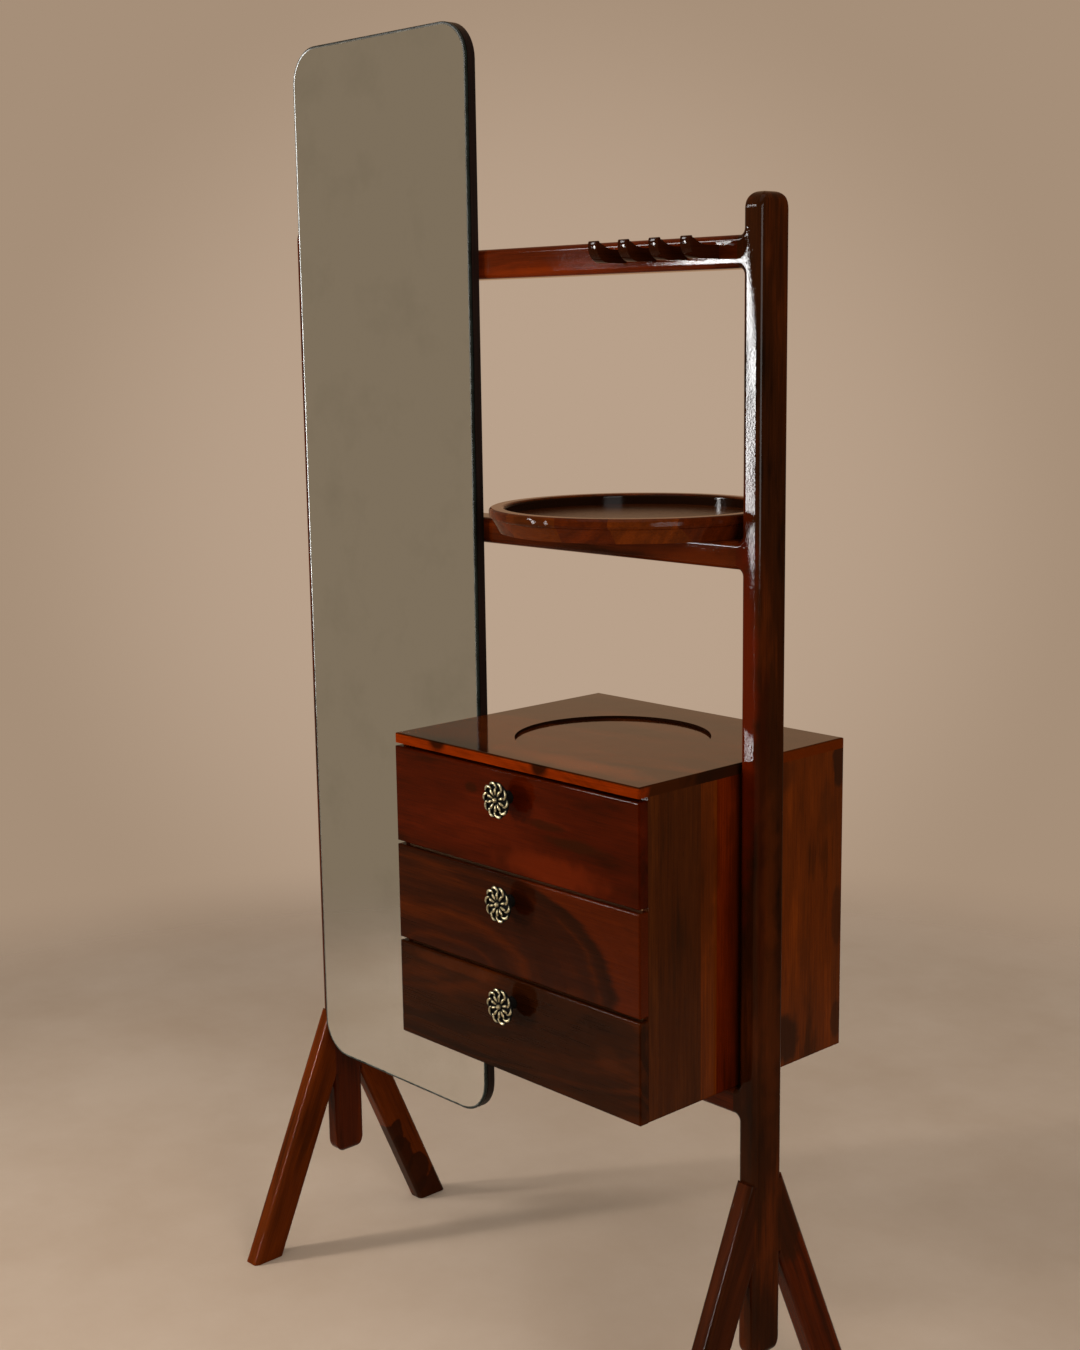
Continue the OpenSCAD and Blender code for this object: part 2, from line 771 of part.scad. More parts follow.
drawer_back(3);  // drawer_3_back
drawer_bottom(3);  // drawer_3_bottom
drawer_knob(3);  // drawer_3_knob
drawer_knob_screw(3);  // drawer_3_knob_screw
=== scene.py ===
from math import cos, pi, radians, sin, sqrt, tan

import bmesh
import bpy
from mathutils import Euler, Matrix, Vector


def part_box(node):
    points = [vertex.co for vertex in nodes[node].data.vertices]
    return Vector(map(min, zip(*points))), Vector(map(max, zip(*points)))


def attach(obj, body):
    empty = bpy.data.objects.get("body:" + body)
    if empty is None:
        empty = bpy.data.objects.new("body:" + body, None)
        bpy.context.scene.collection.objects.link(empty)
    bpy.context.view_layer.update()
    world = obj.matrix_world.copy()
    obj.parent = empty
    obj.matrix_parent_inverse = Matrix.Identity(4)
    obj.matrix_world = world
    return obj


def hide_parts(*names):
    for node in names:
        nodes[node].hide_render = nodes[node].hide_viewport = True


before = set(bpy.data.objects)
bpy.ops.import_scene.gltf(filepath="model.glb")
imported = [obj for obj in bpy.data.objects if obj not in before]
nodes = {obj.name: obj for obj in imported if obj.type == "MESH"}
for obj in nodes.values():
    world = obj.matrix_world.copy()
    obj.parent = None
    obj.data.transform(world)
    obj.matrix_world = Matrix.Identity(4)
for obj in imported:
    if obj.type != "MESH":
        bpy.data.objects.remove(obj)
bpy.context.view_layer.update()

# Looks of the dressing table: lacquered rosewood, mirror glass and brass knobs over the CAD model,
# on a stage like the photograph's
scene = bpy.context.scene

# Lengths are in metres, or in millimetres where a comment says so or MM follows. Colours are
# display values from 0 to 255
MM = 0.001
DRAWERS = (1, 2, 3)
HOOKS = (1, 2, 3, 4)

# Camera: place, direction and lens of the photograph
CAMERA_PLACE = Vector((1.7104, -1.5407, 1.2914))
CAMERA_YAW = radians(47.15)
CAMERA_PITCH = radians(-10.37)
CAMERA_ROLL = radians(-0.81)
LENS = 50.53
SENSOR_HEIGHT = 36

# Floor: a disc that is clear beyond FLOOR_FADE
FLOOR_RADIUS = 5.0
FLOOR_SIDES = 96
FLOOR_DROP = 0.5 * MM
FLOOR_CLEAR = 1.5
FLOOR_FADE = 2.3
FLOOR_COLOUR = (175, 154, 134)
FLOOR_STAIN = (167, 145, 124)
FLOOR_WAVES = 2.2
FLOOR_SPAN = (0.35, 0.62)

# Walls: the backdrop as the camera sees it, and the room as gloss and the mirror see it. A colour
# is centred on a direction and sets in between the two cosines of its span
WALL_COLOUR = (185, 161, 139)
WALL_SIDES = (166, 143, 121)
AHEAD = Vector((-0.73, 0.68, -0.1))
AHEAD_SPAN = (0.96, 1.0)
WALL_IN_GLOSS = (178, 141, 109)
WALL_FRONT_LEFT = (146, 128, 106)
FRONT_LEFT = Vector((-0.76, -0.65, 0.0))
FRONT_LEFT_SPAN = (0.1, 0.85)
WALL_BACK_RIGHT = (104, 90, 76)
BACK_RIGHT = Vector((0.73, 0.68, 0.0))
BACK_RIGHT_SPAN = (0.1, 0.8)
SKY_COLOUR = (1.0, 0.98, 0.95, 1.0)
SKY_STRENGTH = 0.55

# Lamps: name, place, aim, width and height, radiance, spread
LAMP_COLOUR = (1.0, 0.99, 0.98)
WINDOW_Y = -2.3
PART_AIM = (0.1, 0, 0.75)
LEG_AIM = (0.39, 0, 0.2)
FILL_AIM = (0.3, 0, 0.8)
WINDOW_SPREAD = radians(84)
OPEN_SPREAD = pi
LAMPS = (
    ("window_high", (-1.678, WINDOW_Y, 1.378), PART_AIM, (0.186, 0.225), 240, WINDOW_SPREAD),
    ("window_low", (-1.69, WINDOW_Y, 1.038), PART_AIM, (0.155, 0.455), 150, WINDOW_SPREAD),
    ("window_edge", (-1.572, WINDOW_Y, 1.038), PART_AIM, (0.022, 0.455), 40, WINDOW_SPREAD),
    ("window_gap", (-2.16, WINDOW_Y, 1.2), PART_AIM, (0.03, 0.5), 50, WINDOW_SPREAD),
    ("door_gap", (-0.95, WINDOW_Y, 0.58), LEG_AIM, (0.04, 0.56), 170, WINDOW_SPREAD),
    ("doorway", (-1.3, WINDOW_Y, 0.57), LEG_AIM, (0.3, 0.7), 0.25, WINDOW_SPREAD),
    ("skylight", (-2.1, WINDOW_Y, 2.35), PART_AIM, (0.5, 0.6), 48, WINDOW_SPREAD),
    ("overhead", (0.6, -0.8, 3.4), PART_AIM, (2.4, 2.4), 0.8, OPEN_SPREAD),
    ("fill", (3.4, -1.3, 1.5), FILL_AIM, (1.4, 1.6), 9.0, OPEN_SPREAD),
)

# Wood figure: noises in waves per metre across and along the grain
NOISE_MIDDLE = 0.5
SEED_STEP = (3.1, 1.7, 5.3)
PITH_WAVES = (9, 9, 3)
PITH_WANDER = 30 * MM
RIPPLE_WAVES = (70, 70, 12)
RIPPLE_DEPTH = 6 * MM
CLOUD_WAVES = (17, 17, 4.5)
FLAME_WAVES = (52, 52, 9)
FIBRE_WAVES = (620, 620, 14)
PORE_WAVES = (1300, 1300, 60)
FINE_RINGS = 1.0
BROAD_RINGS = 0.25
RING_SHARES = (0.5, 0.5)
MOTTLE_SHARES = (0.62, 0.38)
DARK_TO_MID = (0.36, 0.49)
MID_TO_LIGHT = (0.49, 0.63)
MID_TO_SAP = (0.38, 0.62)
SAP_TINT = 0.35
SAP_FLAMES = 6 * MM
SAP_EDGE = (-1 * MM, 2.5 * MM)
RIND_SHIFT = 2 * MM
RIND_WIDTH = 5 * MM
RIND_DEPTH = 0.45
FIBRE_SPAN = (0.25, 0.75)
FIBRE_TINTS = ((206, 200, 196), (255, 255, 255))
FIBRE_HEIGHT = 0.25
PORE_SPAN = (0.66, 0.74)
PORE_DEPTH = 0.4
PORE_COLOUR = (16, 6, 2)

# Surfaces of a piece of wood
PLAIN_HEART = 0.3
SHIFT_TO_SEED = 10.0
UPRIGHT_SPAN = (0.35, 0.75)
PATCH_EDGE = 0.8
PATCH_WAVES = 36.0
DARK_PATCH = (20, 7, 2)
# Painted shade on the upright walls of a round hollow, and how far out it fades
HOLLOW_SHADE = (24, 9, 3)
HOLLOW_EDGE = (1 * MM, 2 * MM)
OVAL_POWER = 3.0
ENDLESS = 1e6

# Lacquer
COAT_ROUGHNESS = 0.03
DULL_COAT = 0.2
COAT_IOR = 1.17
TOP_COAT_IOR = 1.4
THIN_COAT = 0.12
RIGHT_COAT = 0.4
FACING_SPAN = (0.9, 0.99)
EDGE_SPAN = (0.95, 0.999)
CORNER_SPAN = (0.05, 0.3)
PORE_PRINT = 0.05 * MM
ORANGE_PEEL = 0.05 * MM
PEEL_WAVES = 480.0
SWELL_WAVES = 24.0
SWELL_SHARE = 4.0
WOOD_HEIGHTS = (-1.0, 0.3)
WOOD_ROUGHNESS = (0.6, 0.42)

# Unfinished wood and the stained board
RAW_WAVES = (55, 55, 2.2)
RAW_FIBRE_WAVES = (520, 520, 9)
RAW_SHARES = (0.7, 0.3)
RAW_SPAN = (0.32, 0.66)
RAW_ROUGHNESS = (0.72, 0.55)
RAW_RELIEF = 0.2 * MM
RAW_SEED_STEP = Vector((1, 2, 3))
BOARD_FIBRE_WAVES = (420, 420, 7)
BOARD_CLOUD_WAVES = 6.0
BOARD_SHARES = (0.6, 0.4)
BOARD_TONES = ((10, 5, 3), (31, 15, 9))
BOARD_ROUGHNESS = (0.5, 0.36)
BOARD_RELIEF = 0.15 * MM
FIBRE_HEIGHTS = (0.2, 0.8)
MIDDLE_SPAN = (0.35, 0.65)

# Metal and glass. The brass is rubbed bright above RUBBED_FROM, along the knob's axis; below it,
# its black patina is also painted shade on the stem and the dish behind the strands
CLOUD_SPAN = (0.3, 0.7)
RUBBED_FROM = (20.3 * MM, 21.4 * MM)
RUBBED_BLUR = 1 * MM
STAIN_WAVES = 420.0
PIT_WAVES = 1500.0
PIT_DEPTH = 0.08 * MM
# Black patina, darkened further as painted shade on the knob's stem and dish
PATINA_AND_SHADE = (8, 6, 4)
BRASS_TONES = ((122, 111, 80), (196, 186, 152))
BRASS_ROUGHNESS = (0.7, 0.33)
STEEL_WAVES = 600.0
STEEL_TONES = ((150, 148, 140), (196, 195, 190))
STEEL_ROUGHNESS = (0.28, 0.45)
SILVER = (219, 222, 221)
SMUDGED_SILVER = (210, 213, 211)
SMUDGE_WAVES = 9.0
SMUDGE_SPAN = (0.52, 0.72)
SILVER_ROUGHNESS = (0.015, 0.05)
EDGE_WAVES = 70.0
EDGE_TONES = ((9, 16, 13), (20, 29, 25))
EDGE_ROUGHNESS = (0.22, 0.34)
CHIP_WAVES = 90.0
CHIP_SHIFT = 0.5
# Ground line tones; the bright pair is a painted highlight, the window's reflection on the upper
# left
LINE_PAINTED_HIGHLIGHT = ((196, 200, 198), (240, 242, 240))
PLAIN_LINE = ((72, 68, 60), (98, 94, 84))
DARK_LINE = ((34, 36, 32), (92, 92, 84))
LINE_HIGHLIGHT_HEIGHTS = (0.95, 1.35)
LINE_HIGHLIGHT_LEFT = (-0.36, -0.33)


def srgb(colour):
    """Linear colour with alpha from display values, by the standard sRGB curve"""
    shares = [value / 255 for value in colour]
    linear = [s / 12.92 if s < 0.04045 else ((s + 0.055) / 1.055) ** 2.4 for s in shares]
    return (*linear, 1.0)


class Tree:
    """A node tree with short calls for adding linked nodes; an argument is a socket or a value"""

    def __init__(self, tree):
        self.tree = tree
        self.tree.nodes.clear()

    def add(self, kind, settings=None, **inputs):
        node = self.tree.nodes.new(kind)
        for key, value in (settings or {}).items():
            setattr(node, key, value)
        for key, value in inputs.items():
            self.put(node.inputs[key.replace("_", " ")], value)
        return node

    def put(self, socket, value):
        if isinstance(value, bpy.types.NodeSocket):
            self.tree.links.new(value, socket)
        elif value is not None:
            socket.default_value = value

    def fill(self, node, *values):
        """Puts the values on the node's inputs in their order, and returns the node"""
        for socket, value in zip(node.inputs, values):
            self.put(socket, value)
        return node

    def math(self, operation, *values):
        node = self.add("ShaderNodeMath", {"operation": operation})
        return self.fill(node, *values).outputs[0]

    def weigh(self, values, shares):
        """Sum of two values with these shares"""
        parts = [self.math("MULTIPLY", value, share) for value, share in zip(values, shares)]
        return self.math("ADD", *parts)

    def vector(self, operation, *values):
        node = self.add("ShaderNodeVectorMath", {"operation": operation})
        result = "Value" if operation in ("LENGTH", "DOT_PRODUCT") else "Vector"
        return self.fill(node, *values).outputs[result]

    def scaled(self, vector, factor):
        node = self.add("ShaderNodeVectorMath", {"operation": "SCALE"}, Scale=factor)
        return self.fill(node, vector).outputs["Vector"]

    def split(self, vector):
        return self.add("ShaderNodeSeparateXYZ", Vector=vector).outputs

    def noise(self, vector, scale=1.0, detail=2.0, roughness=0.5, output="Fac"):
        return self.add("ShaderNodeTexNoise", Vector=vector, Scale=scale, Detail=detail,
                        Roughness=roughness).outputs[output]

    def waves(self, vector, per_metre, **texture):
        """Noise with its own number of waves along each axis"""
        return self.noise(self.vector("MULTIPLY", vector, per_metre), **texture)

    def line_noise(self, w, scale, detail, roughness=0.5):
        return self.add("ShaderNodeTexNoise", {"noise_dimensions": "1D"}, W=w, Scale=scale,
                        Detail=detail, Roughness=roughness).outputs["Fac"]

    def ranged(self, value, low, high, to_low=0.0, to_high=1.0, smooth=False):
        kind = "SMOOTHSTEP" if smooth else "LINEAR"
        node = self.add("ShaderNodeMapRange", {"interpolation_type": kind})
        return self.fill(node, value, low, high, to_low, to_high).outputs["Result"]

    def mix_values(self, factor, a, b):
        node = self.add("ShaderNodeMix", {"data_type": "FLOAT"}, Factor=factor)
        self.put(node.inputs[2], a)
        self.put(node.inputs[3], b)
        return node.outputs[0]

    def mix(self, factor, a, b, blend="MIX"):
        node = self.add("ShaderNodeMix", {"data_type": "RGBA", "blend_type": blend})
        self.put(node.inputs[0], factor)
        self.put(node.inputs[6], a)
        self.put(node.inputs[7], b)
        return node.outputs[2]

    def ramp(self, factor, stops, interpolation="LINEAR"):
        node = self.add("ShaderNodeValToRGB", Fac=factor)
        band = node.color_ramp
        band.interpolation = interpolation
        while len(band.elements) < len(stops):
            band.elements.new(1.0)
        for element, (place, colour) in zip(band.elements, stops):
            element.position = place
            element.color = colour
        return node.outputs["Color"]

    def tones(self, factor, span, colours):
        """A colour that runs from the first to the second over the span"""
        return self.ramp(factor, [(place, srgb(colour)) for place, colour in zip(span, colours)])

    def bump(self, height, distance, strength):
        return self.add("ShaderNodeBump", Height=height, Distance=distance,
                        Strength=strength).outputs[0]

    def mix_shaders(self, factor, a, b):
        node = self.add("ShaderNodeMixShader")
        return self.fill(node, factor, a.outputs[0], b.outputs[0]).outputs[0]


def new_material(name):
    material = bpy.data.materials.new(name)
    material.use_nodes = True
    return material, Tree(material.node_tree)


def shader(tree, **inputs):
    """A Principled shader on the material's output"""
    principled = tree.add("ShaderNodeBsdfPrincipled", **inputs)
    tree.add("ShaderNodeOutputMaterial", Surface=principled.outputs[0])


def dress(piece, *materials):
    """Gives a piece these materials in place of its own"""
    piece.data.materials.clear()
    for material in materials:
        piece.data.materials.append(material)


# Wood

def node_group(name, inputs, outputs):
    group = bpy.data.node_groups.new(name, "ShaderNodeTree")
    for direction, sockets in (("INPUT", inputs), ("OUTPUT", outputs)):
        for label, kind in sockets:
            group.interface.new_socket(label, in_out=direction, socket_type="NodeSocket" + kind)
    tree = Tree(group)
    return group, tree, tree.add("NodeGroupInput").outputs


def shifted_place(tree, given):
    """The vector moved by the seed, so that each cut shows other wood"""
    return tree.vector("ADD", given["Vector"], tree.scaled(SEED_STEP, given["Seed"]))


def make_pith_group():
    """Distance in metres from a pith line that runs along Z, leans and wanders"""
    group, t, given = node_group(
        "Pith",
        [("Vector", "Vector"), ("Seed", "Float"), ("Pith", "Vector"), ("Tilt", "Vector")],
        [("Radius", "Float")])
    along = t.split(given["Vector"])["Z"]
    wander = t.waves(shifted_place(t, given), PITH_WAVES, output="Color")
    wander = t.scaled(t.vector("SUBTRACT", wander, [NOISE_MIDDLE] * 3), PITH_WANDER)
    across = t.vector("SUBTRACT", given["Vector"], given["Pith"])
    across = t.vector("SUBTRACT", across, t.scaled(given["Tilt"], along))
    across = t.vector("MULTIPLY", t.vector("ADD", across, wander), (1, 1, 0))
    t.add("NodeGroupOutput", Radius=t.vector("LENGTH", across))
    return group


def make_rosewood_group():
    """Growth rings by distance from the pith, cloudy heartwood inside a sapwood shell, fibres and
    pores. The vector is in metres with the grain along Z; Stripe sets how much the rings show"""
    group, t, given = node_group(
        "Rosewood",
        [("Vector", "Vector"), ("Seed", "Float"), ("Radius", "Float"), ("Heart", "Float"),
         ("Rings", "Float"), ("Stripe", "Float"), ("Dark", "Color"), ("Mid", "Color"),
         ("Light", "Color"), ("Sap", "Color")],
        [("Colour", "Color"), ("Height", "Float")])
    place = shifted_place(t, given)
    ripple = t.waves(place, RIPPLE_WAVES, detail=3.0)
    radius = t.math("ADD", given["Radius"], t.math("MULTIPLY", ripple, RIPPLE_DEPTH))

    # Fine rings ride on broad dark zones
    ring = t.math("ADD", t.math("MULTIPLY", radius, given["Rings"]), given["Seed"])
    fine = t.line_noise(ring, FINE_RINGS, detail=3.0, roughness=0.6)
    broad = t.line_noise(ring, BROAD_RINGS, detail=2.0)
    stripes = t.weigh((fine, broad), RING_SHARES)

    # Clouds and short flames drawn out along the grain
    cloud = t.waves(place, CLOUD_WAVES, detail=3.0)
    flame = t.waves(place, FLAME_WAVES, detail=4.0, roughness=0.6)
    mottle = t.weigh((cloud, flame), MOTTLE_SHARES)
    figure = t.mix_values(given["Stripe"], mottle, stripes)
    lower = t.mix(t.ranged(figure, *DARK_TO_MID, smooth=True), given["Dark"], given["Mid"])
    heart = t.mix(t.ranged(figure, *MID_TO_LIGHT, smooth=True), lower, given["Light"])

    # The sapwood has the same figure, fainter, and a dark rind lies between it and the heart
    edge = t.math("SUBTRACT", radius, given["Heart"])
    flicker = t.math("SUBTRACT", flame, NOISE_MIDDLE)
    edge = t.math("ADD", edge, t.math("MULTIPLY", flicker, SAP_FLAMES))
    tinted = t.mix(SAP_TINT, given["Sap"], given["Mid"])
    pale = t.mix(t.ranged(figure, *MID_TO_SAP), tinted, given["Sap"])
    off_rind = t.math("ABSOLUTE", t.math("ADD", edge, RIND_SHIFT))
    rind = t.ranged(off_rind, 0.0, RIND_WIDTH, RIND_DEPTH, 0.0, smooth=True)
    heart = t.mix(rind, heart, given["Dark"])
    colour = t.mix(t.ranged(edge, *SAP_EDGE, smooth=True), heart, pale)

    # Fibres and short dark pores
    fibre = t.waves(place, FIBRE_WAVES, detail=3.0)
    colour = t.mix(1.0, colour, t.tones(fibre, FIBRE_SPAN, FIBRE_TINTS), "MULTIPLY")
    pore = t.ranged(t.waves(place, PORE_WAVES, detail=1.0), *PORE_SPAN)
    colour = t.mix(t.math("MULTIPLY", pore, PORE_DEPTH), colour, srgb(PORE_COLOUR))
    height = t.math("SUBTRACT", t.math("MULTIPLY", fibre, FIBRE_HEIGHT), pore)
    t.add("NodeGroupOutput", Colour=colour, Height=height)
    return group


PITH = make_pith_group()
ROSEWOOD = make_rosewood_group()

# Dark, middle and light heartwood, and sapwood
TONES = ("Dark", "Mid", "Light", "Sap")
PALETTES = {
    "cocoa": ((30, 10, 2), (46, 17, 4), (62, 23, 5), (74, 27, 5)),
    "ember": ((46, 13, 2), (72, 22, 3), (92, 29, 4), (102, 35, 6)),
    "rust": ((38, 12, 2), (64, 20, 2), (86, 29, 3), (100, 35, 4)),
    "bark": ((26, 10, 2), (46, 17, 4), (64, 24, 5), (84, 30, 4)),
    "cherry": ((36, 7, 0), (55, 11, 0), (68, 16, 1), (80, 22, 3)),
    "heart": ((26, 8, 2), (38, 12, 3), (58, 19, 2), (70, 20, 1)),
    "walnut": ((21, 7, 2), (35, 12, 2), (54, 19, 2), (64, 22, 3)),
    "olive": ((38, 16, 4), (55, 22, 4), (68, 29, 5), (80, 32, 5)),
    "tawny": ((50, 19, 2), (80, 31, 3), (100, 40, 4), (108, 44, 5)),
    "garnet": ((42, 8, 0), (70, 17, 1), (86, 24, 2), (94, 30, 3)),
    "chestnut": ((30, 11, 2), (48, 18, 3), (64, 25, 4), (78, 30, 4)),
    "honey": ((46, 17, 2), (68, 26, 3), (86, 33, 4), (96, 37, 4)),
    "copper": ((84, 25, 1), (108, 33, 2), (122, 40, 4), (130, 46, 8)),
    "ebony": ((9, 2, 0), (17, 4, 0), (30, 9, 1), (42, 13, 2)),
    "umber": ((22, 8, 2), (42, 16, 3), (72, 28, 5), (84, 33, 5)),
    "amber": ((54, 19, 2), (82, 31, 3), (102, 39, 3), (112, 45, 5)),
}

GRAIN_TURNS = {"x": Euler((0, -pi / 2, 0)), "y": Euler((pi / 2, 0, 0)), "z": Euler((0, 0, 0))}


def object_place(tree):
    return tree.add("ShaderNodeTexCoord").outputs["Object"]


def face_normal(tree):
    return tree.split(tree.add("ShaderNodeNewGeometry").outputs["Normal"])


def grain_vector(tree, axis, centre, lean=0.0):
    """Object coordinates turned so that the grain runs along Z, from the centre of the piece; lean
    tilts an upright grain about X"""
    turn = Euler((-lean, 0, 0)) if lean else GRAIN_TURNS[axis]
    shifted = tree.vector("SUBTRACT", object_place(tree), centre)
    return tree.add("ShaderNodeMapping", {"vector_type": "POINT"}, Vector=shifted,
                    Rotation=turn).outputs["Vector"]


def plank_value(tree, position, starts, values):
    """The value of the plank that the position lies in, as a colour; planks are listed upwards"""
    low = starts[0]
    reach = starts[-1] + 1.0 - low
    along = tree.ranged(position, low, low + reach)
    stops = [((start - low) / reach, value) for start, value in zip(starts, values)]
    return tree.ramp(along, stops, "CONSTANT")


def glued_planks(tree, given, planks, across, slant, seed):
    """Gives each plank its own colours, seed and heartwood; slant skews the seams along X"""
    place = tree.split(object_place(tree))
    skew = tree.math("MULTIPLY", place["X"], slant)
    position = tree.math("SUBTRACT", place[across.upper()], skew)
    starts, kinds, shifts, hearts = zip(*planks)
    for i, tone in enumerate(TONES):
        colours = [srgb(PALETTES[kind][i]) for kind in kinds]
        given[tone] = plank_value(tree, position, starts, colours)
    shift = plank_value(tree, position, starts, [(v, v, v, 1) for v in shifts])
    given["Seed"] = tree.math("ADD", tree.math("MULTIPLY", shift, SHIFT_TO_SEED), seed)
    given["Heart"] = plank_value(tree, position, starts, [(v, v, v, 1) for v in hearts])


def measured(tree, place, centre, half_sizes):
    """A place as seen from a centre, in units of these half sizes"""
    return tree.vector("MULTIPLY", tree.vector("SUBTRACT", place, centre),
                       [1 / half for half in half_sizes])


def patches(tree, colour, spots):
    """Ragged patches, each with a centre, half sizes, a depth, a colour and the softness of its
    edge"""
    place = object_place(tree)
    rough = tree.math("SUBTRACT", tree.noise(place, scale=PATCH_WAVES), NOISE_MIDDLE)
    for centre, half_sizes, depth, tint, soft in spots:
        away = tree.vector("LENGTH", measured(tree, place, centre, half_sizes))
        reach = tree.math("ADD", away, rough)
        mask = tree.ranged(reach, PATCH_EDGE - soft, PATCH_EDGE + soft, depth, 0.0, smooth=True)
        colour = tree.mix(mask, colour, srgb(tint))
    return colour


def arc_radius(tree, centre, half_sizes, reach):
    """Distance from the centre of a squarish oval in X and Z; it grows to the reach at the oval's
    edge"""
    near = measured(tree, object_place(tree), centre, half_sizes)
    sides = tree.split(tree.vector("ABSOLUTE", near))
    x, z = [tree.math("POWER", sides[axis], OVAL_POWER) for axis in "XZ"]
    share = tree.math("POWER", tree.math("ADD", x, z), 1 / OVAL_POWER)
    return tree.math("MULTIPLY", share, reach)


def coat_weight(tree, thin):
    """How strongly the lacquer shines. Thin names where it is weak: on the "sides" of a top, on the
    "right" face, or along the "edges", where it also leaves the corners bare"""
    if thin is None:
        return 1.0
    normal = face_normal(tree)
    if thin == "sides":
        return tree.ranged(normal["Z"], *FACING_SPAN, 0.0, 1.0)
    if thin == "right":
        return tree.ranged(normal["X"], *FACING_SPAN, 1.0, RIGHT_COAT)
    x, y, z = [tree.math("ABSOLUTE", normal[axis]) for axis in "XYZ"]
    flatness = tree.math("MAXIMUM", tree.math("MAXIMUM", x, y), z)
    corner = tree.math("MINIMUM", tree.math("MINIMUM", x, y), z)
    weight = tree.ranged(flatness, *EDGE_SPAN, THIN_COAT, 1.0)
    return tree.math("MULTIPLY", weight, tree.ranged(corner, *CORNER_SPAN, 1.0, 0.0))


def lacquered(tree, colour, pores, thin, gloss, coat_ior):
    """Wood under lacquer: its pores print faintly through the coat, which has an orange peel"""
    place = object_place(tree)
    peel = tree.noise(place, scale=PEEL_WAVES, roughness=0.6)
    swell = tree.noise(place, scale=SWELL_WAVES, detail=1.0)
    relief = tree.math("ADD", peel, tree.math("MULTIPLY", swell, SWELL_SHARE))
    shader(tree, Base_Color=colour, Specular_IOR_Level=0.0,
           Roughness=tree.ranged(pores, *WOOD_HEIGHTS, *WOOD_ROUGHNESS),
           Normal=tree.bump(pores, PORE_PRINT, strength=0.6),
           Coat_Weight=coat_weight(tree, thin), Coat_Roughness=gloss, Coat_IOR=coat_ior,
           Coat_Normal=tree.bump(relief, ORANGE_PEEL, strength=1.0))


def rosewood(name, axis="z", palette="cocoa", seed=0.0, pith=(0.03, 0.05), tilt=(0.0, 0.0),
             heart=PLAIN_HEART, rings=150.0, stripe=0.35, centre=(0, 0, 0), lean=0.0, planks=None,
             across="y", slant=0.0, side_palette=None, hollow=None, arc=None, spots=(),
             gloss=COAT_ROUGHNESS, coat_ior=COAT_IOR, thin=None):
    """Lacquered rosewood. pith, tilt and heart are in the grain's own frame; planks split the piece
    along the object axis named across, side_palette colours its upright faces, hollow is the centre
    and radius of a round hollow whose walls get painted shade, and arc bounds the heartwood by an
    oval"""
    material, t = new_material(name)
    given = dict(Vector=grain_vector(t, axis, centre, lean), Seed=seed, Heart=heart, Rings=rings,
                 Stripe=stripe)
    given.update(zip(TONES, map(srgb, PALETTES[palette])))
    if planks:
        glued_planks(t, given, planks, across, slant, seed)
    if side_palette or hollow:
        tilted = t.math("ABSOLUTE", face_normal(t)["Z"])
        upright = t.ranged(tilted, *UPRIGHT_SPAN, 1.0, 0.0)
    if side_palette:
        for tone, colour in zip(TONES, PALETTES[side_palette]):
            given[tone] = t.mix(upright, given[tone], srgb(colour))
    if arc:
        given["Radius"] = arc_radius(t, *arc, heart)
    else:
        rounds = t.add("ShaderNodeGroup", {"node_tree": PITH}, Vector=given["Vector"],
                       Seed=given["Seed"], Pith=(*pith, 0), Tilt=(*tilt, 0))
        given["Radius"] = rounds.outputs["Radius"]
    wood = t.add("ShaderNodeGroup", {"node_tree": ROSEWOOD}, **given).outputs
    colour = wood["Colour"]
    if spots:
        colour = patches(t, colour, spots)
    if hollow:
        middle, radius = hollow
        away = t.vector("MULTIPLY", t.vector("SUBTRACT", object_place(t), middle), (1, 1, 0))
        start, end = [radius + margin for margin in HOLLOW_EDGE]
        inside = t.ranged(t.vector("LENGTH", away), start, end, 1.0, 0.0)
        # Painted shade: the upright walls inside the hollow are darkened
        colour = t.mix(t.math("MULTIPLY", inside, upright), colour, srgb(HOLLOW_SHADE))
    lacquered(t, colour, wood["Height"], thin, gloss, coat_ior)
    return material


def raw_wood(name, axis, deep, pale, seed):
    """Unfinished inner timber with straight grain"""
    material, t = new_material(name)
    vector = grain_vector(t, axis, RAW_SEED_STEP * seed)
    broad = t.waves(vector, RAW_WAVES, detail=4.0, roughness=0.6)
    fibre = t.waves(vector, RAW_FIBRE_WAVES, detail=3.0)
    figure = t.weigh((broad, fibre), RAW_SHARES)
    shader(t, Base_Color=t.tones(figure, RAW_SPAN, (deep, pale)), Specular_IOR_Level=0.3,
           Roughness=t.ranged(fibre, *FIBRE_HEIGHTS, *RAW_ROUGHNESS),
           Normal=t.bump(fibre, RAW_RELIEF, strength=0.7))
    return material


def backing():
    """Backing board stained black-brown"""
    material, t = new_material("backing_wood")
    vector = grain_vector(t, "z", (0, 0, 0))
    fibre = t.waves(vector, BOARD_FIBRE_WAVES, detail=4.0)
    cloud = t.noise(vector, scale=BOARD_CLOUD_WAVES, detail=3.0)
    tone = t.weigh((fibre, cloud), BOARD_SHARES)
    shader(t, Base_Color=t.tones(tone, MIDDLE_SPAN, BOARD_TONES), Specular_IOR_Level=0.15,
           Roughness=t.ranged(fibre, *FIBRE_HEIGHTS, *BOARD_ROUGHNESS),
           Normal=t.bump(fibre, BOARD_RELIEF, strength=0.6))
    return material


# Metal and glass

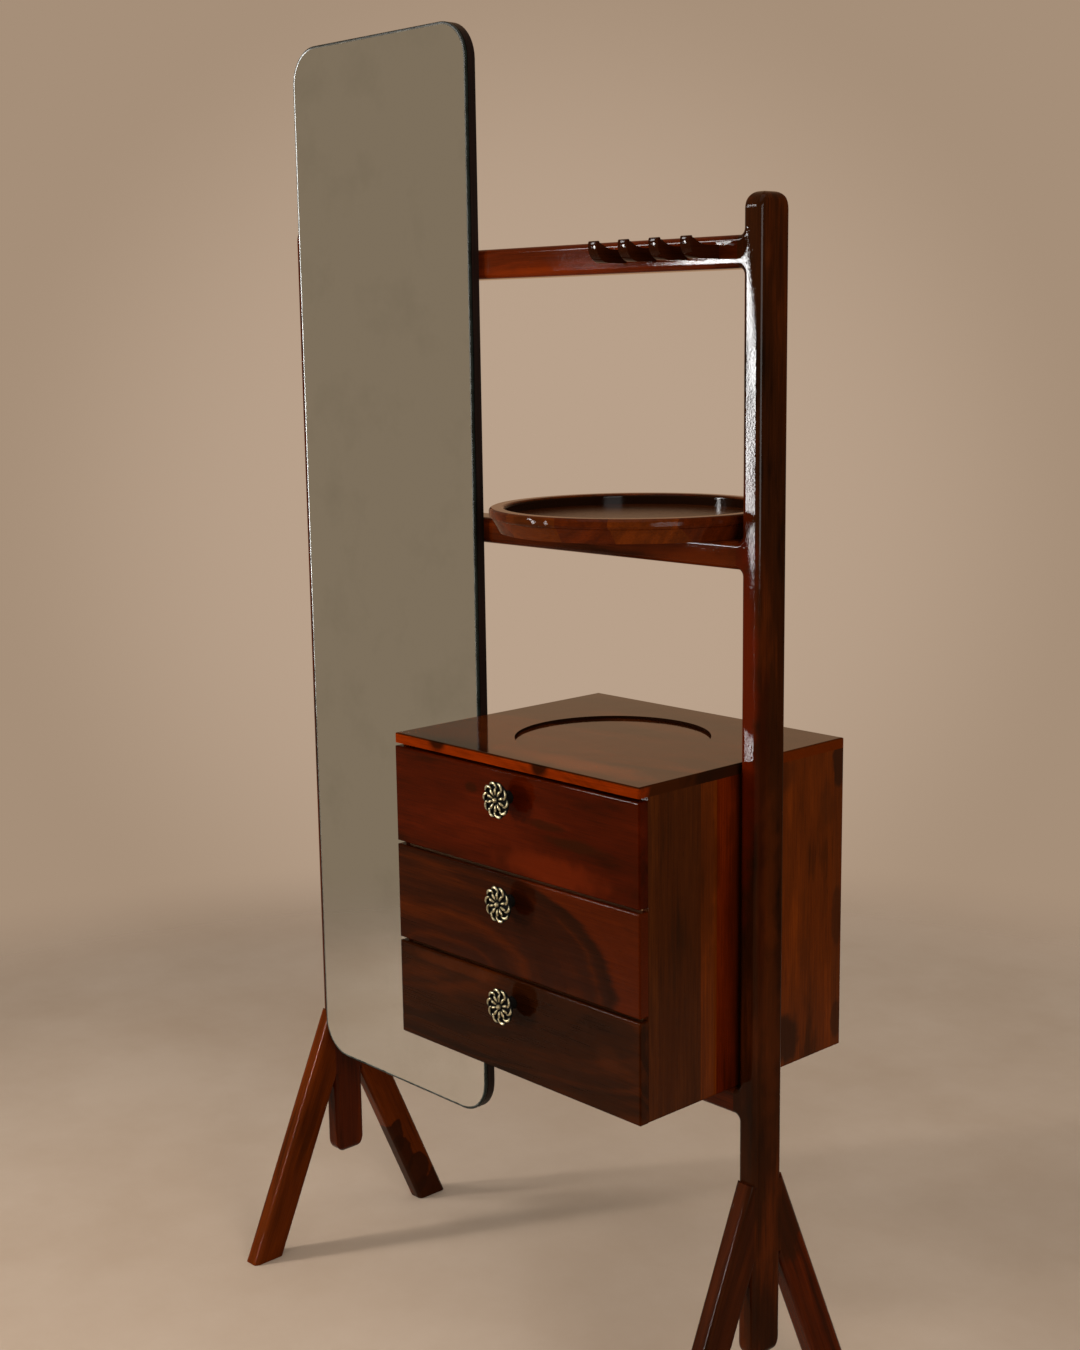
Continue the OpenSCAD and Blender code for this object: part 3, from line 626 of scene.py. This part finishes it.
def brass():
    """Antique brass: black patina in the hollows and painted shade on the stem and dish, rubbed
    bright on the ridges
    """
    material, t = new_material("antique_brass")
    place = object_place(t)
    stain = t.noise(place, scale=STAIN_WAVES, detail=4.0, roughness=0.6)
    blur = t.math("MULTIPLY", t.math("SUBTRACT", stain, NOISE_MIDDLE), RUBBED_BLUR)
    rubbed = t.ranged(t.math("ADD", t.split(place)["Z"], blur), *RUBBED_FROM, smooth=True)
    tone = t.tones(stain, CLOUD_SPAN, BRASS_TONES)
    pits = t.noise(place, scale=PIT_WAVES)
    # Below the rubbed height the knob is black: patina, and painted shade on the stem and dish
    shader(t, Base_Color=t.mix(rubbed, srgb(PATINA_AND_SHADE), tone), Metallic=rubbed,
           Roughness=t.ranged(rubbed, 0.0, 1.0, *BRASS_ROUGHNESS), Specular_IOR_Level=0.05,
           Normal=t.bump(pits, PIT_DEPTH, strength=0.5))
    return material


def clouded(name, waves, tones, roughness, **shading):
    """A plain material whose colour and roughness drift between two values"""
    material, t = new_material(name)
    cloud = t.noise(object_place(t), scale=waves, detail=3.0)
    shader(t, Base_Color=t.tones(cloud, CLOUD_SPAN, tones),
           Roughness=t.ranged(cloud, *CLOUD_SPAN, *roughness), **shading)
    return material


def glass_edge():
    """Polished edge of the glass, which looks greenish black"""
    return clouded("glass_edge", EDGE_WAVES, EDGE_TONES, EDGE_ROUGHNESS, Specular_IOR_Level=0.22)


def silvering():
    """The mirror's face: silver behind faintly grey glass, with a trace of smudges"""
    material, t = new_material("mirror_silver")
    smudge = t.noise(object_place(t), scale=SMUDGE_WAVES, detail=5.0, roughness=0.6)
    film = t.ranged(smudge, *SMUDGE_SPAN)
    shader(t, Base_Color=t.mix(film, srgb(SILVER), srgb(SMUDGED_SILVER)), Metallic=1.0,
           Roughness=t.ranged(film, 0.0, 1.0, *SILVER_ROUGHNESS))
    return material


def ground_line_and_highlight():
    """Ground line round the mirror's face, with a painted highlight: palest high up on the left
    side, where the window's reflection is painted, and darkest and most chipped low down on the
    right"""
    material, t = new_material("ground_line_and_highlight")
    place = object_place(t)
    sides = t.split(place)
    chips = t.noise(place, scale=CHIP_WAVES, detail=3.0, roughness=0.6)
    height = t.math("ADD", sides["Z"], t.math("MULTIPLY", chips, CHIP_SHIFT))
    high = t.ranged(height, *LINE_HIGHLIGHT_HEIGHTS, smooth=True)
    left = t.ranged(sides["X"], *LINE_HIGHLIGHT_LEFT, 1.0, 0.0, smooth=True)
    bright, plain, dark = [t.tones(chips, MIDDLE_SPAN, colours)
                           for colours in (LINE_PAINTED_HIGHLIGHT, PLAIN_LINE, DARK_LINE)]
    # Painted highlight: the line turns pale high up on the left side
    colour = t.mix(high, t.mix(left, dark, plain), t.mix(left, plain, bright))
    shader(t, Base_Color=colour, Roughness=0.5, Specular_IOR_Level=0.05)
    return material


# Meshes

# Eased copies of CAD meshes: what counts as one point, as flat and as a sharp edge
WELD = 0.005 * MM
FLAT_ANGLE = radians(0.2)
SHARP_ANGLE = radians(35)


def mesh_from(work, name):
    """Mesh with the shape that was built in bmesh"""
    mesh = bpy.data.meshes.new(name)
    work.to_mesh(mesh)
    work.free()
    return mesh


def new_piece(name, mesh, body, slot, *materials, place=None):
    """Smooth piece that rides on a body; a place is a matrix"""
    piece = bpy.data.objects.new(name, mesh)
    scene.collection.objects.link(piece)
    dress(piece, *materials)
    for polygon in mesh.polygons:
        polygon.use_smooth = True
    if place is not None:
        piece.matrix_world = place
    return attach(piece, body)


def eased_copy(node, width, segments):
    """A copy of a CAD node's mesh with its sharp edges rounded or bevelled"""
    work = bmesh.new()
    work.from_mesh(nodes[node].data)
    bmesh.ops.remove_doubles(work, verts=work.verts, dist=WELD)
    bmesh.ops.dissolve_limit(work, angle_limit=FLAT_ANGLE, verts=work.verts, edges=work.edges)
    shared = [edge for edge in work.edges if len(edge.link_faces) == 2]
    sharp = [edge for edge in shared if edge.calc_face_angle() > SHARP_ANGLE]
    bmesh.ops.bevel(work, geom=sharp, offset=width, segments=segments, profile=0.5,
                    affect="EDGES", clamp_overlap=True)
    return mesh_from(work, node + "_eased")


def shade_by_angle(piece, angle):
    """Smooth shading that stops at edges sharper than the angle"""
    with bpy.context.temp_override(object=piece, active_object=piece, selected_objects=[piece],
                                   selected_editable_objects=[piece]):
        bpy.ops.object.shade_smooth_by_angle(angle=angle)


# Knobs

# Turned profiles: radius and distance from the drawer's front, in millimetres
KNOB_STEM = (
    (0, 0), (7.5, 0), (7.5, 1.2), (6.9, 2.0), (5.2, 2.6), (4.4, 4.4), (4.2, 9.0), (4.8, 13.0),
    (7.5, 15.6), (12.0, 16.6), (19.2, 17.2), (20.3, 17.7), (19.8, 18.2), (13.0, 18.4),
    (6.0, 18.6), (0, 18.8),
)
KNOB_BUTTON = ((0, 18), (2.4, 18), (2.8, 20.8), (2.7, 22.2), (2.2, 23.3), (1.2, 23.85), (0, 24))
STEM_SIDES = 48
BUTTON_SIDES = 24

# Strands on the dish: each size is a start and a growth in millimetres, and the power that the
# share of the growth is raised to
DISH = 18.2 * MM
LOBES = 10
LOBE_SPAN = radians(52)
LOBE_REACH = (13.8, 6.0, 0.75)
LOBE_RISE = (1.3, 1.0, 1)
LOBE_WIDTH = (0.5, 1.4, 0.7)
LOBE_HEIGHT = (0.5, 1.2, 0.6)
PETAL_BULGE = 1.4
PETAL_REACH = (4.0, 10.8, 1)
PETAL_RISE = (1.2, 1.1, 1)
PETAL_WIDTH = (0.2, 1.35, 0.7)
PETAL_HEIGHT = (0.3, 1.5, 0.7)
TUBE_SIDES = 10
TUBE_STEPS = 18


def grown(size, share):
    """A strand's size at a share of its growth, in metres"""
    start, growth, power = size
    return (start + growth * share ** power) * MM


def on_circle(radius, angle, z):
    return Vector((radius * cos(angle), radius * sin(angle), z))


def ring_points(centre, along, radius_wide, radius_flat, sides):
    """Ring of points round a path's point, square to the path, flattened towards the dish"""
    side = along.cross(Vector((0, 0, 1))).normalized()
    up = side.cross(along).normalized()
    angles = [2 * pi * i / sides for i in range(sides)]
    return [centre + side * cos(a) * radius_wide + up * sin(a) * radius_flat for a in angles]


def join_rings(work, rings):
    """Faces between each ring of points and the next"""
    sides = len(rings[0])
    for low, high in zip(rings, rings[1:]):
        for i in range(sides):
            j = (i + 1) % sides
            work.faces.new((low[i], low[j], high[j], high[i]))


def add_tube(work, points, widths, heights):
    """Closed tube along the points with these half widths and half heights"""
    rings = []
    for i, point in enumerate(points):
        along = points[min(i + 1, len(points) - 1)] - points[max(i - 1, 0)]
        ring = ring_points(point, along, widths[i], heights[i], TUBE_SIDES)
        rings.append([work.verts.new(p) for p in ring])
    join_rings(work, rings)
    work.faces.new(rings[0][::-1])
    work.faces.new(rings[-1])


def add_turned(work, profile, sides):
    """Closed solid of revolution about Z; the profile's first and last points lie on the axis"""
    tips = [work.verts.new((0, 0, z * MM)) for _, z in (profile[0], profile[-1])]
    rings = [[work.verts.new(on_circle(radius * MM, 2 * pi * i / sides, z * MM))
              for i in range(sides)] for radius, z in profile[1:-1]]
    for i in range(sides):
        j = (i + 1) % sides
        work.faces.new((tips[0], rings[0][j], rings[0][i]))
        work.faces.new((tips[1], rings[-1][i], rings[-1][j]))
    join_rings(work, rings)


def add_lobe(work, angle):
    """One strand of the woven rim: it starts on top of the last strand and dips under the next"""
    points, widths, heights = [], [], []
    for i in range(TUBE_STEPS + 1):
        s = i / TUBE_STEPS
        swell = sin(pi * s)
        turn = angle + (s - 0.5) * LOBE_SPAN
        z = DISH + grown(LOBE_RISE, cos(pi * s))
        points.append(on_circle(grown(LOBE_REACH, swell), turn, z))
        widths.append(grown(LOBE_WIDTH, swell))
        heights.append(grown(LOBE_HEIGHT, swell))
    add_tube(work, points, widths, heights)


def add_petal(work, angle):
    """Slim petal from the button out to the rim, widest a little beyond its middle"""
    points, widths, heights = [], [], []
    for i in range(TUBE_STEPS + 1):
        s = i / TUBE_STEPS
        belly = sin(pi * s ** PETAL_BULGE)
        z = DISH + grown(PETAL_RISE, sin(pi * s))
        points.append(on_circle(grown(PETAL_REACH, s), angle, z))
        widths.append(grown(PETAL_WIDTH, belly))
        heights.append(grown(PETAL_HEIGHT, belly))
    add_tube(work, points, widths, heights)


def knob_mesh(name):
    """Rosette knob along +Z, with its foot at the origin"""
    work = bmesh.new()
    add_turned(work, KNOB_STEM, STEM_SIDES)
    add_turned(work, KNOB_BUTTON, BUTTON_SIDES)
    for i in range(LOBES):
        add_lobe(work, 2 * pi * i / LOBES)
        add_petal(work, 2 * pi * (i + 0.5) / LOBES)
    bmesh.ops.recalc_face_normals(work, faces=work.faces)
    return mesh_from(work, name)


def make_knob(number, material):
    """The knob stands on its drawer's front, over the CAD knob"""
    name = f"drawer_{number}_knob"
    low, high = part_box(name)
    foot = Vector(((low.x + high.x) / 2, high.y, (low.z + high.z) / 2))
    place = Matrix.Translation(foot) @ Matrix.Rotation(pi / 2, 4, "X")
    knob_name = f"rosette_knob_{number}"
    knob = new_piece(knob_name, knob_mesh(knob_name), f"drawer_{number}", "antique_brass",
                     material, place=place)
    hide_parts(name)


# Hooks and mirror

HOOK_EASE = 2.2 * MM
HOOK_SEGMENTS = 4
HOOK_SHADE = radians(40)
MIRROR_BEVEL = 1.1 * MM
OUTLINE_WIDTH = 1.1 * MM
GROUND_WIDTH = 1.3 * MM
FRONT_FACING = -0.99


def make_hook(number, material):
    """Hook with its edges eased by hand"""
    name = f"hook_{number}"
    mesh = eased_copy(name, HOOK_EASE, HOOK_SEGMENTS)
    hook = new_piece(f"eased_{name}", mesh, "stand", "frame_wood", material)
    shade_by_angle(hook, HOOK_SHADE)
    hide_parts(name)


def inset(work, faces, width):
    """Insets a flat region, and returns the new faces of its rim"""
    made = bmesh.ops.inset_region(work, faces=faces, thickness=width, use_even_offset=True)
    return set(made["faces"])


def make_mirror(edge, silver, line):
    """Mirror glass with a narrow bevel round both faces, and a ground line just inside the front's
    outline, which carries a painted highlight"""
    mesh = eased_copy("mirror_glass", MIRROR_BEVEL, segments=1)
    work = bmesh.new()
    work.from_mesh(mesh)
    front = [face for face in work.faces if face.normal.y < FRONT_FACING]
    outline = inset(work, front, OUTLINE_WIDTH)
    ground = inset(work, front, GROUND_WIDTH)
    kinds = []
    for face in work.faces:
        silvered = face.normal.y < FRONT_FACING and face not in outline
        kinds.append(2 if face in ground else int(silvered))
    work.to_mesh(mesh)
    work.free()
    glass = new_piece("polished_mirror_glass", mesh, "stand", "mirror_glass", edge, silver, line)
    for polygon, kind in zip(mesh.polygons, kinds):
        polygon.use_smooth = False
        polygon.material_index = kind
    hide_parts("mirror_glass")


# Posts; a dome has a radius across the post's width and one across its depth

POST_WIDTH = 26 * MM
POST_SHADE = radians(30)
CAD_DOME = 9.5 * MM
SOFT_DOME = Vector((11.5, 18)) * MM
DOME_STEPS = 7
DOME_CROWDING = 1.5


def end_inset(depth, radius):
    """How far a rounded end has drawn in at this depth below its tip"""
    if depth >= radius:
        return 0.0
    return radius - sqrt(max(0.0, radius ** 2 - (radius - depth) ** 2))


def make_post(side, material):
    """Post with its top and foot rounded off in a soft dome"""
    name = f"{side}_post"
    low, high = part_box(name)
    half = Vector((POST_WIDTH / 2, (high.y - low.y) / 2))
    middle = Vector((high.x - half.x if side == "right" else low.x + half.x, high.y - half.y))
    work = bmesh.new()
    work.from_mesh(nodes[name].data)
    for tip, way in ((high.z, -1), (low.z, 1)):
        for step in range(1, DOME_STEPS + 1):
            depth = SOFT_DOME.y * (step / DOME_STEPS) ** DOME_CROWDING
            bmesh.ops.bisect_plane(work, geom=work.verts[:] + work.edges[:] + work.faces[:],
                                   plane_co=(0, 0, tip + way * depth), plane_no=(0, 0, 1))
        for vertex in work.verts:
            depth = abs(vertex.co.z - tip)
            had = end_inset(depth, CAD_DOME)
            for axis, (centre, reach) in enumerate(zip(middle, SOFT_DOME)):
                narrow = (half[axis] - end_inset(depth, reach)) / (half[axis] - had)
                if narrow < 1:
                    vertex.co[axis] = centre + (vertex.co[axis] - centre) * narrow
    mesh = mesh_from(work, name + "_domed")
    post = new_piece(f"domed_{name}", mesh, "stand", "frame_wood", material)
    shade_by_angle(post, POST_SHADE)
    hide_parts(name)


# Camera, stage and light

def make_camera():
    level_share = cos(CAMERA_PITCH)
    look = Vector((-sin(CAMERA_YAW) * level_share, cos(CAMERA_YAW) * level_share,
                   sin(CAMERA_PITCH)))
    level = Vector((cos(CAMERA_YAW), sin(CAMERA_YAW), 0))
    up = level.cross(look)
    right = level * cos(CAMERA_ROLL) + up * sin(CAMERA_ROLL)
    up = right.cross(look)
    turn = Matrix((right, up, -look)).transposed().to_4x4()
    data = bpy.data.cameras.new("camera")
    data.sensor_fit = "VERTICAL"
    data.sensor_height = SENSOR_HEIGHT
    data.lens = LENS
    camera = bpy.data.objects.new("camera", data)
    camera.matrix_world = Matrix.Translation(CAMERA_PLACE) @ turn
    scene.collection.objects.link(camera)
    scene.camera = camera


def make_floor():
    """Round floor that fades into the backdrop"""
    work = bmesh.new()
    bmesh.ops.create_circle(work, cap_ends=True, segments=FLOOR_SIDES, radius=FLOOR_RADIUS)
    floor = bpy.data.objects.new("floor", mesh_from(work, "floor"))
    floor.location.z = -FLOOR_DROP
    scene.collection.objects.link(floor)
    material, t = new_material("floor")
    place = object_place(t)
    stain = t.noise(place, scale=FLOOR_WAVES, detail=6.0, roughness=0.62)
    colour = t.tones(stain, FLOOR_SPAN, (FLOOR_STAIN, FLOOR_COLOUR))
    away = t.ranged(t.vector("LENGTH", place), FLOOR_CLEAR, FLOOR_FADE, smooth=True)
    plain = t.add("ShaderNodeBsdfDiffuse", Color=colour)
    clear = t.add("ShaderNodeBsdfTransparent")
    t.add("ShaderNodeOutputMaterial", Surface=t.mix_shaders(away, plain, clear))
    dress(floor, material)


def towards(tree, view, direction, span):
    """1 where the view lies near the direction, and 0 outside the span of cosines"""
    return tree.ranged(tree.vector("DOT_PRODUCT", view, direction), *span, smooth=True)


def make_world():
    """Neutral ambient light; the camera sees the backdrop, gloss and glass see the room, which is
    dimmer to the front left and the back right"""
    world = bpy.data.worlds.new("studio")
    scene.world = world
    world.use_nodes = True
    t = Tree(world.node_tree)
    view = t.add("ShaderNodeTexCoord").outputs["Generated"]
    ahead = towards(t, view, AHEAD, AHEAD_SPAN)
    front_left = towards(t, view, FRONT_LEFT, FRONT_LEFT_SPAN)
    back_right = towards(t, view, BACK_RIGHT, BACK_RIGHT_SPAN)
    backdrop = t.mix(ahead, srgb(WALL_SIDES), srgb(WALL_COLOUR))
    room = t.mix(front_left, srgb(WALL_IN_GLOSS), srgb(WALL_FRONT_LEFT))
    room = t.mix(back_right, room, srgb(WALL_BACK_RIGHT))
    ray = t.add("ShaderNodeLightPath").outputs
    glossy = t.math("MAXIMUM", ray["Is Glossy Ray"], ray["Is Transmission Ray"])
    shown = t.math("MAXIMUM", ray["Is Camera Ray"], glossy)
    ambient = t.add("ShaderNodeBackground", Color=SKY_COLOUR, Strength=SKY_STRENGTH)
    picture = t.add("ShaderNodeBackground", Color=t.mix(glossy, backdrop, room), Strength=1.0)
    t.add("ShaderNodeOutputWorld", Surface=t.mix_shaders(shown, ambient, picture))


def make_lamp(name, place, aim, size, radiance, spread):
    """Rectangular lamp that shines with this radiance towards its aim; it fades towards half the
    spread"""
    half = spread / 2
    focus = (tan(half) - half) / tan(half) if spread < OPEN_SPREAD else 1.0
    data = bpy.data.lights.new(name, "AREA")
    data.shape = "RECTANGLE"
    data.size, data.size_y = size
    data.spread = spread
    data.energy = radiance * focus * pi * size[0] * size[1]
    data.color = LAMP_COLOUR
    lamp = bpy.data.objects.new(name, data)
    lamp.location = place
    lamp.rotation_euler = (Vector(aim) - Vector(place)).to_track_quat("-Z", "Y").to_euler()
    lamp.visible_camera = False
    scene.collection.objects.link(lamp)


def make_stage():
    scene.view_settings.view_transform = "Standard"
    make_camera()
    make_floor()
    make_world()
    for lamp in LAMPS:
        make_lamp(*lamp)


# What each piece is made of, with some painted shade. Patches follow the photo's dark and light
# marks in place, size and colour, a few of them painted shade beside the right post, and planks its
# seams

LEG_LEAN = radians(23.7)
RECESS_RADIUS = 115.5 * MM
RECESS_FORWARD = 6 * MM
TRAY_HOLLOW = 149 * MM
WIDE_RINGS = 110
CRISP = 0.06
LEG_STAIN = (36, 13, 3)
TOP_SLANT = 0.218


def centre_of(node):
    low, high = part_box(node)
    return (low + high) / 2


def give(node, **finish):
    """Dresses a CAD node in its own cut of rosewood"""
    finish.setdefault("centre", centre_of(node))
    material = rosewood(f"{node}_wood", **finish)
    dress(nodes[node], material)
    return material


def patch(x, y, z, half_sizes, depth, tint=DARK_PATCH, soft=0.35):
    """A patch at a place, with its half sizes, all in millimetres"""
    return Vector((x, y, z)) * MM, Vector(half_sizes) * MM, depth, tint, soft


def plank(start, palette, shift, heart=PLAIN_HEART):
    """A plank of a glued board: where it starts, in millimetres, its colours and its cut"""
    return start * MM, palette, shift, heart


def dress_frame():
    left = give("left_post", palette="rust", seed=1.3, pith=(0.02, 0.05))
    right = give("right_post", palette="umber", seed=2.6, pith=(-0.01, 0.045),
                 tilt=(0.004, 0.012), stripe=0.2, thin="right", spots=[
        patch(385, -14, 900, (24, 10, 260), 0.75, (72, 14, 0)),
        patch(408, -4, 760, (8, 14, 300), 0.5, (42, 10, 1)),
        patch(408, 14, 520, (8, 20, 150), 0.35, (70, 27, 4)),
        patch(408, 10, 700, (8, 16, 120), 0.4, (70, 26, 3)),
    ])
    make_post("left", left)
    make_post("right", right)
    give("top_rail", axis="x", palette="ember", seed=3.1, pith=(0.03, -0.03), stripe=0.4, spots=[
        patch(60, -8, 1352, (120, 30, 10), 0.6, (104, 32, 1), 0.5),
        patch(370, -8, 1366, (40, 30, 30), 0.7, (42, 10, 1)),
    ])
    give("middle_rail", axis="x", palette="rust", seed=4.7, pith=(0.02, 0.04), stripe=0.55, spots=[
        patch(376, -8, 1048, (16, 30, 30), 0.4, (28, 7, 1)),
        patch(320, -12, 1040, (70, 30, 16), 0.5, (96, 33, 3), 0.5),
    ])
    give("lower_rail", axis="x", palette="rust", seed=5.2, pith=(0.03, 0.02))
    front = dict(lean=-LEG_LEAN, thin="right")
    back = dict(lean=LEG_LEAN, thin="right")
    give("front_left_leg", palette="amber", seed=6.4, pith=(0.03, 0.02), stripe=0.5, **front)
    give("back_left_leg", palette="amber", seed=7.9, pith=(0.02, -0.03), spots=[
        patch(-380, 90, 112, (40, 24, 34), 0.9, LEG_STAIN, CRISP),
        patch(-380, 104, 78, (40, 26, 42), 0.9, LEG_STAIN, CRISP),
        patch(-380, 128, 40, (40, 30, 42), 0.9, LEG_STAIN, CRISP),
        patch(-380, 165, 0, (40, 50, 46), 0.9, LEG_STAIN, CRISP),
    ], **back)
    give("front_right_leg", palette="bark", seed=8.3, pith=(0.03, 0.03), **front)
    give("back_right_leg", palette="rust", seed=9.6, pith=(0.0, -0.04), heart=0.055, stripe=0.5,
         spots=[patch(408, 50, 290, (40, 30, 80), 0.8, (34, 13, 3), 0.15)], **back)


def dress_tray():
    give("tray_rim", axis="x", palette="rust", seed=10.2, pith=(0.02, 0.1), rings=WIDE_RINGS,
         # painted shade on the tray's inner wall
         across="x", hollow=(centre_of("tray_rim"), TRAY_HOLLOW), planks=[
             plank(33, "tawny", 0.13),
             plank(112, "rust", 0.37),
             plank(160, "tawny", 0.52),
             plank(236, "rust", 0.11),
             plank(290, "tawny", 0.73),
             plank(340, "rust", 0.91),
         ])
    give("tray_floor", axis="x", palette="olive", seed=11.8, pith=(0.05, 0.03), stripe=0.5,
         gloss=DULL_COAT)


def dress_cabinet():
    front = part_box("drawer_1_front")[0].y / MM
    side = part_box("cabinet_right_side")[1].x / MM
    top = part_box("cabinet_top")[1].z / MM
    recess = centre_of("cabinet_top") - Vector((0, RECESS_FORWARD, 0))
    give("cabinet_top", axis="x", seed=12.0, pith=(0.09, -0.06), tilt=(0.0, 0.28), stripe=0.3,
         coat_ior=TOP_COAT_IOR, thin="sides", side_palette="copper", slant=TOP_SLANT,
         # painted shade on the walls of the round recess
         hollow=(recess, RECESS_RADIUS), planks=[
             plank(-400, "chestnut", 0.21),
             plank(-156, "honey", 0.47),
             plank(-4, "chestnut", 0.68),
         ], spots=[
             patch(46, front, top - 1, (18, 26, 14), 0.9),
             patch(219, front, top - 1, (18, 32, 16), 0.9),
             patch(170, 0, top, (12, 16, 8), 0.5),
             patch(240, -128, top, (130, 24, 20), 0.7, (108, 42, 6), 0.5),
             patch(350, -36, top, (56, 26, 20), 0.7, (34, 14, 4), 0.3),
             patch(150, 90, top, (130, 22, 20), 0.45, (92, 38, 6), 0.5),
             patch(side, -106, top - 7, (3, 72, 40), 1.0, (44, 17, 4), 0.2),
             # Painted shade on the top's right end, beside the right post
             patch(side, -30, top - 7, (3, 66, 40), 0.95, (27, 11, 4), 0.2),
             patch(side, 120, top - 7, (3, 90, 40), 0.8, (66, 24, 3), 0.2),
         ])
    sides = dict(pith=(0.06, 0.1), stripe=0.2, thin="edges")
    give("cabinet_right_side", seed=13.5, **sides, planks=[
        plank(-170, "olive", 0.10),
        plank(-68, "tawny", 0.34),
        plank(-42, "garnet", 0.52),
        plank(45, "tawny", 0.71),
        plank(160, "olive", 0.93, heart=0.07),
    ], spots=[
        patch(side, -56, 710, (20, 20, 120), 0.5, (46, 15, 1)),
        # Painted shade: the plank darkens next to the right post
        patch(side, 0, 640, (20, 26, 260), 0.5, (32, 7, 0)),
        # Painted shadow: a dark blot low down behind the right post
        patch(side, 84, 476, (20, 22, 40), 0.85, (32, 13, 4), 0.2),
        patch(side, 70, 792, (20, 26, 24), 0.5, (40, 16, 4)),
        patch(side, 150, 740, (20, 16, 40), 0.5, (44, 18, 4)),
        patch(side, 110, 600, (20, 14, 60), 0.3, (48, 18, 3)),
        patch(side, 172, 790, (20, 14, 34), 0.75, (30, 14, 6), 0.15),
        patch(side, 172, 610, (20, 12, 50), 0.5, (34, 15, 5), 0.15),
        patch(side, 172, 480, (20, 12, 30), 0.6, (34, 15, 5), 0.15),
    ])
    give("cabinet_left_side", seed=14.5, **sides, planks=[
        plank(-170, "tawny", 0.20),
        plank(-50, "olive", 0.44),
        plank(60, "tawny", 0.62),
    ])
    give("cabinet_bottom", axis="x", palette="olive", seed=15.1, thin="edges")
    dress_fronts(front)


def dress_fronts(front):
    """The drawers' fronts, whose faces lie at this Y in millimetres"""
    fronts = dict(axis="x", thin="edges", rings=WIDE_RINGS)
    give("drawer_1_front", palette="cherry", seed=16.0, pith=(0.06, -0.1), stripe=0.15, spots=[
        patch(240, front, 702, (100, 20, 20), 0.4, (92, 26, 3)),
        patch(276, front, 738, (58, 20, 8), 0.75, (34, 10, 1)),
        patch(228, front, 752, (40, 20, 7), 0.7, (32, 9, 1)),
        patch(105, front, 775, (12, 20, 7), 0.6, (26, 7, 0)),
    ], **fronts)
    oval = (Vector((60, front, 540)) * MM, Vector((285, ENDLESS, 150)) * MM)
    give("drawer_2_front", palette="heart", seed=23.1, heart=0.075, stripe=0.5, arc=oval, **fronts)
    give("drawer_3_front", palette="walnut", seed=24.3, pith=(-0.045, 0.05), tilt=(0.0, 0.12),
         stripe=0.4, spots=[
             patch(70, front, 552, (90, 20, 8), 0.4, (66, 24, 3)),
             patch(324, front, 507, (22, 20, 16), 0.2, (60, 23, 4)),
         ], **fronts)


def dress_inside():
    """Plain wood, grained along X or Y, and steel screws"""
    plain_x = raw_wood("inner_wood_x", "x", deep=(142, 98, 60), pale=(176, 132, 88), seed=0.3)
    plain_y = raw_wood("inner_wood_y", "y", deep=(146, 102, 64), pale=(180, 136, 92), seed=0.7)
    panel = raw_wood("back_panel_wood", "z", deep=(92, 52, 28), pale=(120, 74, 42), seed=1.1)
    screws = clouded("screw_steel", STEEL_WAVES, STEEL_TONES, STEEL_ROUGHNESS, Metallic=1.0)
    dress(nodes["cabinet_back"], panel)
    endings = (("screw", screws), ("screws", screws), ("divider", plain_x), ("runner", plain_y),
               ("dowels", plain_y))
    for name, node in nodes.items():
        for ending, material in endings:
            if name.endswith(ending):
                dress(node, material)
    box_parts = (("left_side", plain_y), ("right_side", plain_y), ("back", plain_x),
                 ("bottom", plain_x))
    for number in DRAWERS:
        for part, material in box_parts:
            dress(nodes[f"drawer_{number}_{part}"], material)


make_stage()
dress_frame()
dress_tray()
dress_cabinet()
dress_inside()
dress(nodes["mirror_backing"], backing())
make_mirror(glass_edge(), silvering(), ground_line_and_highlight())
hook_wood = rosewood("hook_wood", axis="y", palette="ebony", seed=20.3, pith=(0.02, 0.03))
for hook_number in HOOKS:
    make_hook(hook_number, hook_wood)
knob_brass = brass()
for drawer_number in DRAWERS:
    make_knob(drawer_number, knob_brass)
